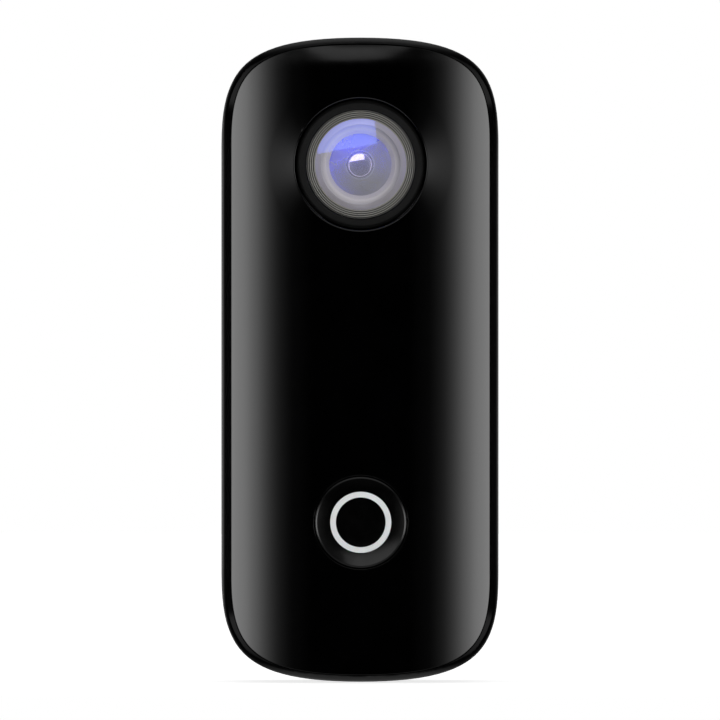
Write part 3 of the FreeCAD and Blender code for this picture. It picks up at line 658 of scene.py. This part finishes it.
# ---------------------------------------------------------------- mesh helpers
def add_piece(
    name, points_mm, faces, body, slot, replaced=(), sharp_angle=35.0, loop_normals=None, finish=None
):
    """A mesh object from millimetre points, smooth except across sharp edges, riding on its body."""
    mesh = bpy.data.meshes.new(name)
    mesh.from_pydata([Vector(p) * MM for p in points_mm], [], faces)
    mesh.validate()
    mesh.shade_smooth()
    if loop_normals is None:
        mesh.set_sharp_from_angle(angle=math.radians(sharp_angle))
    else:
        mesh.normals_split_custom_set(loop_normals)
    piece = bpy.data.objects.new(name, mesh)
    bpy.context.scene.collection.objects.link(piece)
    mesh.materials.append(finish or MATERIALS[slot])
    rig.ride(piece, body)
    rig.slot(piece, slot)
    for node in replaced:
        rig.replaces(piece, node)
    return piece


def softened(corners, closed=False):
    """(u, v) points of a profile whose (u, v, radius) corners are each rounded by an arc of their radius."""
    result = []
    count = len(corners)
    for i, (u, v, radius) in enumerate(corners):
        here = np.array([u, v])
        if radius <= 0 or (not closed and i in (0, count - 1)):
            result.append((u, v))
            continue
        before = np.array(corners[i - 1][:2]) - here
        after = np.array(corners[(i + 1) % count][:2]) - here
        a = before / np.linalg.norm(before)
        b = after / np.linalg.norm(after)
        half = math.acos(max(-1.0, min(1.0, float(a @ b)))) / 2
        reach = radius / math.tan(half)
        centre = here + (a + b) / np.linalg.norm(a + b) * radius / math.sin(half)
        start = here + a * reach - centre
        end = here + b * reach - centre
        sweep = math.atan2(start[0] * end[1] - start[1] * end[0], float(start @ end))
        steps = max(3, round(abs(sweep) / math.radians(12)))
        for k in range(steps + 1):
            angle = sweep * k / steps
            turn = np.array([[math.cos(angle), -math.sin(angle)], [math.sin(angle), math.cos(angle)]])
            result.append(tuple(centre + turn @ start))
    return result


def turned(name, profile, centre, body, slot, replaced=(), segments=192, sharp_angle=35.0, finish=None):
    """A closed solid of revolution about a front-to-back axis, from closed (radius, depth) points."""
    points, rings, faces = [], [], []
    for r, d in profile:
        if r < 1e-6:
            rings.append([len(points)] * segments)
            points.append((centre[0], -d, centre[1]))
            continue
        rings.append(list(range(len(points), len(points) + segments)))
        for k in range(segments):
            angle = 2 * math.pi * k / segments
            points.append((centre[0] + r * math.cos(angle), -d, centre[1] + r * math.sin(angle)))
    for one, two in zip(rings, rings[1:] + rings[:1]):
        for k in range(segments):
            quad = [one[k], one[(k + 1) % segments], two[(k + 1) % segments], two[k]]
            face = list(dict.fromkeys(quad))
            if len(face) > 2:
                faces.append(face)
    faces = oriented(points, faces)
    return add_piece(name, points, faces, body, slot, replaced, sharp_angle, finish=finish)


def oriented(points, faces):
    """The faces, turned to face outwards."""
    bm = bmesh.new()
    verts = [bm.verts.new(p) for p in points]
    for face in faces:
        bm.faces.new([verts[i] for i in face])
    bm.verts.index_update()
    bmesh.ops.recalc_face_normals(bm, faces=bm.faces)
    result = [[v.index for v in f.verts] for f in bm.faces]
    bm.free()
    return result


def arc_depths(apex_d, radius, reach, steps, bulges_forward=True):
    """(r, depth) points of a spherical surface, from the axis out to reach."""
    sign = -1 if bulges_forward else 1
    result = []
    for k in range(steps + 1):
        r = reach * k / steps
        result.append((r, apex_d + sign * (radius - math.sqrt(radius**2 - r**2))))
    return result


# ---------------------------------------------------------------- front cover
def crown(x):
    """Depth of the crowned front at x."""
    return CREST_D - CROWN_B * (1 - np.sqrt(1 - (x / CROWN_A) ** 2))


def cover_surface(x, z):
    """Depth of the cover: the crown, flared up on both sides of the lens hole and leaning back at the top."""
    r = np.maximum(np.hypot(x - LENS_X, z - LENS_Z), 1e-6)
    t = np.clip((FLARE_R - r) / (FLARE_R - LENS_HOLE_R), 0, 1)
    flare = FLARE_RISE * t**2 * ((x - LENS_X) / r) ** 4
    lean = np.clip((z - (BODY_H / 2 - COVER_END_INSET - BROW)) / BROW, 0, None) ** 2
    return crown(x) + flare - BROW_FALL * lean * np.exp(-((x / BROW_HALF) ** 4))


def cover_outline(step):
    """Points round the front cover's edge, anticlockwise, about step apart."""
    w = BODY_W / 2 - COVER_SIDE_INSET
    h = BODY_H / 2 - COVER_END_INSET
    start = BODY_H / 2 - CAP_LEN
    handle = CAP_END_HANDLE * w / (BODY_W / 2)
    rise = CAP_SIDE_HANDLE * (h - start) / CAP_LEN
    t = np.linspace(0, 1, 400)[:, None]
    poles = [np.array(p) for p in ((w, start), (w, start + rise), (handle, h), (0.0, h))]
    weights = ((1 - t) ** 3, 3 * (1 - t) ** 2 * t, 3 * (1 - t) * t**2, t**3)
    quarter = sum(weight * pole for weight, pole in zip(weights, poles))
    mirror_x = quarter[::-1] * (-1, 1)
    upper = np.vstack([quarter, mirror_x[1:]])
    loop = np.vstack([upper, upper * (-1, -1)])
    gaps = np.linalg.norm(np.roll(loop, -1, axis=0) - loop, axis=1)
    along = np.concatenate([[0], np.cumsum(gaps)])
    wanted = np.linspace(0, along[-1], round(along[-1] / step), endpoint=False)
    closed = np.vstack([loop, loop[:1]])
    return np.column_stack([np.interp(wanted, along, closed[:, i]) for i in (0, 1)])


def inward_normals(loop):
    tangent = np.roll(loop, -1, axis=0) - np.roll(loop, 1, axis=0)
    normal = np.column_stack([-tangent[:, 1], tangent[:, 0]])
    return normal / np.linalg.norm(normal, axis=1)[:, None]


def rolled(s, radius):
    """How far an edge rounded by radius has dropped at distance s inside it, and the slope there."""
    inside = np.clip(radius - s, 0, radius * 0.99999)
    fall = radius - np.sqrt(radius**2 - inside**2)
    slope = inside / np.sqrt(radius**2 - inside**2)
    return fall, slope


def front_cover():
    loop = cover_outline(0.35)
    normals = inward_normals(loop)
    lens_hole = (LENS_X, LENS_Z, LENS_HOLE_R, LENS_HOLE_EDGE_R)
    button_hole = (BUTTON_X, BUTTON_Z, BUTTON_HOLE_R, BUTTON_HOLE_EDGE_R)
    hole_edges = [lens_hole, button_hole]
    flat = []
    constraints = []

    def add_loop(points):
        first = len(flat)
        flat.extend(map(tuple, points))
        n = len(points)
        constraints.extend((first + k, first + (k + 1) % n) for k in range(n))

    for step in (0, 0.012, 0.05, 0.12, 0.22, 0.36, 0.52, 0.72, 1.0, 4.0, 9.0, 15.0):
        add_loop(loop + normals * (COVER_EDGE_R * step))
    for cx, cz, r, edge in hole_edges:
        reach = [r + edge * k for k in (0, 0.012, 0.06, 0.16, 0.32, 0.55, 0.8, 1.0)]
        limit = FLARE_R if r == LENS_HOLE_R else r + 1.2
        reach += list(np.arange(r + edge + 0.15, limit + 0.3, 0.19))
        for ring in reach:
            angles = np.linspace(0, 2 * math.pi, 160, endpoint=False)
            add_loop(np.column_stack([cx + ring * np.cos(angles), cz + ring * np.sin(angles)]))

    grid = np.array([(x, z) for x in np.arange(-11.6, 11.7, 0.4) for z in np.arange(-29, 29.1, 0.9)])
    near = np.linalg.norm(grid[:, None] - loop[None], axis=2).min(axis=1) > 1.3
    inside = points_inside(grid, loop)
    kept = near & inside
    kept &= np.hypot(grid[:, 0] - LENS_X, grid[:, 1] - LENS_Z) > FLARE_R + 0.5
    kept &= np.hypot(grid[:, 0] - BUTTON_X, grid[:, 1] - BUTTON_Z) > BUTTON_HOLE_R + 1.7
    flat.extend(map(tuple, grid[kept]))

    verts, _, triangles, _, _, _ = delaunay_2d_cdt([Vector(p) for p in flat], constraints, [], 0, 1e-5)
    plan = np.array([v[:] for v in verts])
    triangles = np.array([t if is_anticlockwise(plan[list(t)]) else t[::-1] for t in map(list, triangles)])
    middles = plan[triangles].mean(axis=1)
    keep = points_inside(middles, loop)
    for cx, cz, r, _ in hole_edges:
        keep &= np.hypot(middles[:, 0] - cx, middles[:, 1] - cz) > r * 0.9999
    triangles = triangles[keep]
    used = np.unique(triangles)
    renumber = np.full(len(plan), -1)
    renumber[used] = np.arange(len(used))
    plan, triangles = plan[used], renumber[triangles]

    depth, facing = cover_relief(plan, loop, normals, hole_edges)
    back = crown(np.clip(plan[:, 0], -CROWN_A, CROWN_A)) - COVER_T
    count = len(plan)
    points = [(x, -d, z) for (x, z), d in zip(plan, depth)] + [(x, -d, z) for (x, z), d in zip(plan, back)]
    faces, loop_normals = [], []
    for a, b, c in triangles.tolist():
        faces.append((a, b, c))
        loop_normals += [tuple(facing[a]), tuple(facing[b]), tuple(facing[c])]
    for a, b, c in triangles.tolist():
        faces.append((c + count, b + count, a + count))
        loop_normals += [(0.0, 1.0, 0.0)] * 3
    for a, b in boundary_edges(triangles):
        faces.append((b, a, a + count, b + count))
        wall = [facing[b] * (1, 0, 1), facing[a] * (1, 0, 1)]
        wall = [w / np.linalg.norm(w) for w in wall]
        loop_normals += [tuple(wall[0]), tuple(wall[1]), tuple(wall[1]), tuple(wall[0])]
    name, body, replaced = "gloss_front_cover", "camera_body", ["front_cover"]
    add_piece(name, points, faces, body, "cover_gloss", replaced, loop_normals=loop_normals)


def is_anticlockwise(corners):
    (ax, az), (bx, bz), (cx, cz) = corners
    return (bx - ax) * (cz - az) - (bz - az) * (cx - ax) > 0


def points_inside(points, loop):
    """Which points lie inside a closed loop, by counting crossings."""
    x, z = points[:, 0][:, None], points[:, 1][:, None]
    a, b = loop, np.roll(loop, -1, axis=0)
    crosses = (a[:, 1] > z) != (b[:, 1] > z)
    rise = np.where(b[:, 1] == a[:, 1], 1e-12, b[:, 1] - a[:, 1])
    at = a[:, 0] + (z - a[:, 1]) * (b[:, 0] - a[:, 0]) / rise
    return (crosses & (x < at)).sum(axis=1) % 2 == 1


def boundary_edges(triangles):
    """Directed edges that belong to one triangle only."""
    directed = {(int(t[i]), int(t[(i + 1) % 3])) for t in triangles for i in range(3)}
    return [(a, b) for a, b in directed if (b, a) not in directed]


def cover_relief(plan, loop, normals, hole_edges):
    """Depth and outward normal of the cover's front at every point of its plan."""
    h = 1e-4
    x, z = plan[:, 0], plan[:, 1]
    depth = cover_surface(x, z)
    slope_x = (cover_surface(x + h, z) - cover_surface(x - h, z)) / (2 * h)
    slope_z = (cover_surface(x, z + h) - cover_surface(x, z - h)) / (2 * h)
    offsets = plan[:, None] - loop[None]
    nearest = (offsets**2).sum(axis=2).argmin(axis=1)
    inward = normals[nearest]
    s = np.clip(((plan - loop[nearest]) * inward).sum(axis=1), 0, None)
    fall, steep = rolled(s, COVER_EDGE_R)
    depth -= fall
    slope_x += steep * inward[:, 0]
    slope_z += steep * inward[:, 1]
    for cx, cz, r, edge in hole_edges:
        radial = plan - (cx, cz)
        distance = np.linalg.norm(radial, axis=1)
        fall, steep = rolled(np.clip(distance - r, 0, None), edge)
        depth -= fall
        slope_x += steep * radial[:, 0] / distance
        slope_z += steep * radial[:, 1] / distance
    facing = np.column_stack([-slope_x, -np.ones(len(plan)), -slope_z])
    return depth, facing / np.linalg.norm(facing, axis=1)[:, None]


# ---------------------------------------------------------------- lens
BAFFLE_INNER_R = 4.36
BAFFLE_OUTER_R = 5.1
BAFFLE_TURNS = 4
BAFFLE_PITCH = (BAFFLE_OUTER_R - BAFFLE_INNER_R) / BAFFLE_TURNS
THREAD_TURNS = 12
THREAD_PITCH = 0.55
LENS = (LENS_X, LENS_Z)


def lens_trim_ring():
    inner_r, skirt_r, outer_r = 5.17, 5.6, 6.08
    front_d, ledge_d, back_d = 19.4, 18.4, 16.65
    front = [(inner_r, 19.24, 0.03), (5.32, front_d, 0.05), (5.8, front_d, 0.06), (outer_r, 19.12, 0.08)]
    skirt = [(outer_r, back_d, 0.03), (skirt_r, back_d, 0.03)]
    ledge = [(skirt_r, ledge_d, 0), (inner_r, ledge_d, 0.03)]
    profile = softened(front + skirt + ledge, closed=True)
    turned("trim_ring", profile, LENS, "camera_body", "ring_graphite", ["lens_trim_ring"])


def lens_barrel():
    """The barrel: stepped turns round the glass, a threaded outside, and a bore that narrows to the rear."""
    seat_r, head_r, thread_r, root_r = 4.34, 5.12, 5.0, 4.82
    glass_bore_r, rear_bore_r, waist_r = 3.8, 3.2, 2.8
    seat_d, stop_d, rear_d = 18.0, 13.9, 7.4
    rise = 0.045
    profile = [(seat_r, seat_d), (seat_r, 18.88)]
    for k in range(BAFFLE_TURNS):
        r = BAFFLE_INNER_R + k * BAFFLE_PITCH
        d = 18.95 + rise * k
        profile += [(r, d), (r + 0.45 * BAFFLE_PITCH, d - 0.035)]
        profile += [(r + 0.6 * BAFFLE_PITCH, d + 0.035), (r + 0.95 * BAFFLE_PITCH, d + rise)]
    profile += [(head_r, 19.3), (head_r, 14.4)]
    for k in range(THREAD_TURNS):
        d = 14.3 - k * THREAD_PITCH
        profile += [(thread_r, d), (thread_r, d - 0.2), (root_r, d - 0.34), (root_r, d - 0.42)]
    profile += [(thread_r, 7.6), (4.8, rear_d), (rear_bore_r, rear_d), (rear_bore_r, 12.1)]
    profile += [(waist_r, 12.35), (waist_r, stop_d), (glass_bore_r, stop_d), (glass_bore_r, seat_d)]
    turned("grooved_barrel", profile, LENS, "camera_body", "barrel_black", ["lens_barrel"], sharp_angle=20)


def front_lens():
    """A shallow meniscus: domed in front, dished behind."""
    r, edge_d, back_d = 4.32, 18.95, 18.02
    rise = LENS_FRONT_D - edge_d
    front = arc_depths(LENS_FRONT_D, (r**2 + rise**2) / (2 * rise), r, 28)
    hollow_r, hollow_radius = 2.9, 7.0
    hollow_depth = hollow_radius - math.sqrt(hollow_radius**2 - hollow_r**2)
    back = arc_depths(back_d + hollow_depth, hollow_radius, hollow_r, 20)
    profile = front + [(r, back_d)] + back[::-1]
    turned("front_dome", profile, LENS, "camera_body", "coated_glass", ["front_lens"])


def lens_spacer():
    inner_r, outer_r, front_d, back_d = 2.95, 3.78, 17.98, 16.4
    bevel = [(inner_r, 17.2, 0.03), (3.3, front_d, 0.08)]
    rest = [(outer_r, front_d, 0.02), (outer_r, back_d, 0), (inner_r, back_d, 0)]
    profile = softened(bevel + rest, closed=True)
    turned("spacer_ring", profile, LENS, "camera_body", "spacer_grey", ["lens_spacer"])


def middle_lens():
    dome_r, outer_r, rim_d, back_d = 2.9, 3.76, 16.35, 15.0
    front_radius = 12.0
    apex_d = rim_d + front_radius - math.sqrt(front_radius**2 - dome_r**2)
    front = arc_depths(apex_d, front_radius, dome_r, 20)
    hollow_radius, hollow_d = 5.0, 15.6
    reach = math.sqrt(hollow_radius**2 - (back_d - (hollow_d - hollow_radius)) ** 2)
    back = arc_depths(hollow_d, hollow_radius, reach, 16)
    profile = front + [(outer_r, rim_d), (outer_r, back_d)] + back[::-1]
    finish = blue_coated_glass("blue_coated_glass")
    turned("second_glass", profile, LENS, "camera_body", "coated_glass", ["middle_lens"], finish=finish)


def aperture_stop():
    opening_r, outer_r, front_d, back_d = 1.3, 3.76, 14.95, 14.7
    lip = [(opening_r, 14.86), (1.36, 14.92), (1.5, front_d)]
    profile = lip + [(outer_r, front_d), (outer_r, back_d), (opening_r, back_d)]
    turned("aperture_disc", profile, LENS, "camera_body", "baffle_black", ["aperture_stop"])


def third_lens():
    """The small third lens, with a flat shoulder round its dome."""
    apex_d, radius, dome_r, outer_r, back_d = 14.6, 6.0, 1.1, 1.72, 13.3
    front = arc_depths(apex_d, radius, dome_r, 16)
    shoulder_d = front[-1][1] - 0.02
    profile = front + [(1.12, shoulder_d), (outer_r, shoulder_d), (outer_r, back_d), (0, back_d)]
    finish = frosted_glass("frosted_glass")
    turned("third_glass", profile, LENS, "camera_body", "coated_glass", ["third_lens"], 96, finish=finish)


# ---------------------------------------------------------------- shutter button
BUTTON = (BUTTON_X, BUTTON_Z)


def dish_depth(r):
    """Depth of the button's dished face at a radius."""
    climb = max(r - DISH_FLAT_R, 0) ** 2
    return DISH_RIM_D - DISH_CURVE * ((DISH_RIM_R - DISH_FLAT_R) ** 2 - climb)


def dish_points(low, high, steps):
    radii = [low + (high - low) * k / steps for k in range(steps + 1)]
    return [(r, dish_depth(r)) for r in radii]


def shutter_button():
    """Dished cap with a soft rim, a groove for the light ring, a flange and a stem."""
    face_r, cap_r, flange_r, stem_r = 4.2, 4.4, 5.0, 1.2
    groove_d, flange_front_d, flange_back_d, stem_end_d = 18.5, 18.35, 17.85, 14.95
    groove_in, groove_out = RING_IN - RING_GAP, RING_OUT + RING_GAP
    crest = [(face_r, dish_depth(face_r), 0), (4.28, 19.755, 0.03), (cap_r, 19.66, 0.05)]
    rim = softened(crest + [(cap_r, flange_front_d, 0)])
    inner = dish_points(0, groove_in, 16)
    outer = dish_points(groove_out, face_r, 14)
    profile = inner + [(groove_in, groove_d), (groove_out, groove_d)] + outer + rim[1:]
    profile += [(flange_r, flange_front_d), (flange_r, flange_back_d)]
    profile += [(stem_r, flange_back_d), (stem_r, stem_end_d), (0, stem_end_d)]
    turned("dished_button", profile, BUTTON, "shutter_button", "button_black", ["shutter_button"])


def button_light_ring():
    back_d = 18.51
    profile = [(RING_IN, back_d)] + dish_points(RING_IN, RING_OUT, 6) + [(RING_OUT, back_d)]
    turned("light_ring", profile, BUTTON, "shutter_button", "diffuser_white", ["button_light_ring"])


# ---------------------------------------------------------------- pieces built as stacked outlines
def rounded_rectangle(half_u, half_v, radius, steps=14):
    """Points round a rounded rectangle, anticlockwise from its right side."""
    points = []
    for quarter, (su, sv) in enumerate(((1, 1), (-1, 1), (-1, -1), (1, -1))):
        for k in range(steps + 1):
            angle = math.pi / 2 * (quarter + k / steps)
            u = su * (half_u - radius) + radius * math.cos(angle)
            points.append((u, sv * (half_v - radius) + radius * math.sin(angle)))
    return points


def stacked(name, sections, body, slot, replaced=()):
    """A closed solid from same-sized upright outlines, each at its own y, capped at both ends."""
    points, faces = [], []
    size = len(sections[0][0])
    for outline, y in sections:
        points += [(u, y, v) for u, v in outline]
    for layer in range(len(sections) - 1):
        low, high = layer * size, (layer + 1) * size
        faces += [(low + k, low + (k + 1) % size, high + (k + 1) % size, high + k) for k in range(size)]
    last = (len(sections) - 1) * size
    faces.append(tuple(range(size))[::-1])
    faces.append(tuple(range(last, last + size)))
    return add_piece(name, points, oriented(points, faces), body, slot, replaced)


def pillow(half_u, half_v, corner, low, high, edge, steps=6):
    """Sections of a pad from y = low to y = high, its edge rounded at high."""
    sections = [(rounded_rectangle(half_u, half_v, corner), low)]
    for k in range(steps + 1):
        angle = math.pi / 2 * k / steps
        inset = edge * (1 - math.cos(angle))
        outline = rounded_rectangle(half_u - inset, half_v - inset, corner - inset * 0.9)
        sections.append((outline, high - edge * (1 - math.sin(angle))))
    return sections


def rear_plate():
    _, _, back_d, front_d = place("rear_plate")
    half_w, half_h, corner, edge = 10.2, 27.4, 5.0, 0.25
    sections = pillow(half_w, half_h, corner, -front_d, -back_d, edge)
    stacked("mounting_plate", sections, "camera_body", "plate_soft_black", ["rear_plate"])


# ---------------------------------------------------------------- studio
CAMERA_TURN = math.radians(0.7)  # how far to the left of straight ahead the camera stands
CAMERA_TARGET = (-0.04, -17.0, -0.03)
CAMERA_FIELD = 68.26  # width of the view at the target


def studio_world():
    """Softboxes as a sky: side boxes fading towards the front, a roof and a floor glow; white to the eye."""
    world = bpy.data.worlds.new("studio")
    world.use_nodes = True
    tree = world.node_tree
    tree.nodes.clear()

    def node(kind, inputs=(), **settings):
        return add_node(tree, kind, inputs, **settings)

    def math_node(operation, a, b=0.0):
        return node("ShaderNodeMath", {0: a, 1: b}, operation=operation).outputs[0]

    def curve(source, *stops):
        """A ramp through (angle in degrees, brightness in tenths) stops, for angles from 0 to 180."""
        ramp = node("ShaderNodeValToRGB", {"Fac": math_node("DIVIDE", source, 180.0)})
        elements = ramp.color_ramp.elements
        while len(elements) < len(stops):
            elements.new(0.5)
        for element, (angle, level) in zip(elements, stops):
            element.position = angle / 180
            element.color = (level / 10, level / 10, level / 10, 1)
        return math_node("MULTIPLY", ramp.outputs["Color"], 10.0)

    ray = node("ShaderNodeTexCoord").outputs["Generated"]
    turn = {"Vector": ray, "Axis": (0, 0, 1), "Angle": -CAMERA_TURN}
    direction = node("ShaderNodeVectorRotate", turn, rotation_type="AXIS_ANGLE").outputs[0]
    axes = node("ShaderNodeSeparateXYZ", {"Vector": direction}).outputs
    sideways = math_node("ABSOLUTE", axes["X"])
    ahead = math_node("MULTIPLY", axes["Y"], -1.0)
    azimuth = math_node("MULTIPLY", math_node("ARCTAN2", sideways, ahead), 180 / math.pi)
    elevation = math_node("MULTIPLY", math_node("ARCSINE", axes["Z"]), 180 / math.pi)
    height = math_node("ABSOLUTE", elevation)
    above = math_node("MAXIMUM", elevation, 0.0)
    below = math_node("MAXIMUM", math_node("MULTIPLY", elevation, -1.0), 0.0)

    front = curve(azimuth, *SIDE_BOX)
    sides = math_node("MULTIPLY", front, curve(height, *SIDE_BAND))
    rear = math_node("MULTIPLY", curve(azimuth, *REAR_BOX), curve(height, *REAR_BAND))
    roof = curve(above, *ROOF)
    glow = curve(below, *FLOOR_GLOW)
    total = math_node("ADD", math_node("ADD", sides, rear), math_node("ADD", roof, glow))
    lit = node("ShaderNodeBackground", {"Color": (1, 1, 1, 1), "Strength": total})
    seen = node("ShaderNodeBackground", {"Color": (1, 1, 1, 1), "Strength": 1.0})
    eye = node("ShaderNodeLightPath").outputs["Is Camera Ray"]
    mixed = node("ShaderNodeMixShader", {0: eye, 1: lit.outputs[0], 2: seen.outputs[0]})
    tree.links.new(mixed.outputs[0], node("ShaderNodeOutputWorld").inputs["Surface"])
    bpy.context.scene.world = world


# Each light's brightness against azimuth (boxes) or elevation (bands, roof and glow), in degrees.
SIDE_BOX = (
    (13, 0.0),
    (19, 0.04),
    (21, 0.09),
    (23.4, 0.19),
    (25, 0.3),
    (26.7, 0.5),
    (28.4, 0.74),
    (30.4, 1.1),
    (32.1, 1.45),
    (34.2, 1.95),
    (38, 2.7),
    (42, 3.55),
    (46, 4.05),
    (57.6, 4.9),
    (58.6, 0.0),
)
REAR_BOX = ((64, 0.0), (91, 0.1), (118, 0.6), (150, 0.8), (170, 0.0))
SIDE_BAND = ((0, 1.0), (6, 1.0), (18, 0.0))
REAR_BAND = ((0, 1.0), (20, 1.0), (50, 0.0))
ROOF = ((4, 0.0), (14, 0.05), (24, 0.13), (34, 0.2), (43, 0.26), (51, 0.34), (63, 0.6), (90, 0.7))
FLOOR_GLOW = ((18, 0.0), (32, 0.1), (48, 0.6), (90, 0.6))

KEY_RADIANCE = 0.85
KEY_ROLL = 10.0
KEY_AZIMUTH = -7.0
KEY_ELEVATION = 17.5
KEY_HALF_WIDTH = 14.5
KEY_HALF_HEIGHT = 7.8
KEY_DISTANCE = 0.7


def key_light():
    """The window-like softbox, a little above the camera and to its left."""
    azimuth, elevation = math.radians(KEY_AZIMUTH), math.radians(KEY_ELEVATION)
    level = Vector((math.sin(azimuth), -math.cos(azimuth), 0)) * math.cos(elevation)
    toward = level + Vector((0, 0, math.sin(elevation)))
    light = bpy.data.lights.new("key", "AREA")
    light.shape = "RECTANGLE"
    light.size = 2 * KEY_DISTANCE * math.tan(math.radians(KEY_HALF_WIDTH))
    light.size_y = 2 * KEY_DISTANCE * math.tan(math.radians(KEY_HALF_HEIGHT))
    light.energy = KEY_RADIANCE * math.pi * light.size * light.size_y
    holder = bpy.data.objects.new("key", light)
    holder.location = Vector((0, -CREST_D * MM, 0)) + toward * KEY_DISTANCE
    holder.rotation_mode = "QUATERNION"
    aimed = (-toward).to_track_quat("-Z", "Y")
    holder.rotation_quaternion = aimed @ Quaternion((0, 0, 1), math.radians(KEY_ROLL))
    bpy.context.scene.collection.objects.link(holder)


def floor():
    """Pale floor under the camera, with a faint glow of its own so that it runs into the background."""
    low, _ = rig.bounds()
    mesh = bpy.data.meshes.new("floor")
    near, far, half = -0.09, 1.6, 1.2
    height = low.z - 0.0001
    corners = [(-half, near, height), (half, near, height), (half, far, height), (-half, far, height)]
    mesh.from_pydata(corners, [], [(0, 1, 2, 3)])
    look = Look("pale_floor", shade(0.8), 0.7)
    look.mottle(shade(0.78), shade(0.82), 40.0)
    look.set("Emission Color", (1, 1, 1, 1))
    look.set("Emission Strength", 0.78)
    mesh.materials.append(look.material)
    obj = bpy.data.objects.new("floor", mesh)
    obj.visible_glossy = False
    bpy.context.scene.collection.objects.link(obj)
    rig.stage(obj)


def camera():
    """A long lens, a little to the left of straight ahead."""
    data = bpy.data.cameras.new("camera")
    data.lens = 1000.0
    data.sensor_width = 36.0
    distance = CAMERA_FIELD * MM * data.lens / data.sensor_width
    target = Vector(CAMERA_TARGET) * MM
    toward = Vector((-math.sin(CAMERA_TURN), -math.cos(CAMERA_TURN), 0))
    data.clip_end = 10.0
    obj = bpy.data.objects.new("camera", data)
    obj.location = target + toward * distance
    obj.rotation_mode = "QUATERNION"
    obj.rotation_quaternion = (-toward).to_track_quat("-Z", "Y")
    bpy.context.scene.collection.objects.link(obj)
    bpy.context.scene.camera = obj


# ---------------------------------------------------------------- assembly
MATERIALS = {m["slot"]: globals()[m["slot"]](m["slot"]) for m in frame["record"]["materials"]}
for subpart in frame["record"]["subparts"]:
    node_mesh = NODES[subpart["node"]].data
    node_mesh.materials.clear()
    node_mesh.materials.append(MATERIALS[subpart["material_slot"]])

front_cover()
lens_trim_ring()
lens_barrel()
front_lens()
lens_spacer()
middle_lens()
aperture_stop()
third_lens()
shutter_button()
button_light_ring()
rear_plate()

studio_world()
key_light()
floor()
camera()
bpy.context.scene.view_settings.view_transform = "Standard"
bpy.context.scene.view_settings.look = "None"

with open("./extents.json", "w") as size_file:
    boxes = {"cad": [list(corner) for corner in cad_box], "visual": [list(corner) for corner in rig.bounds()]}
    json.dump(boxes, size_file)
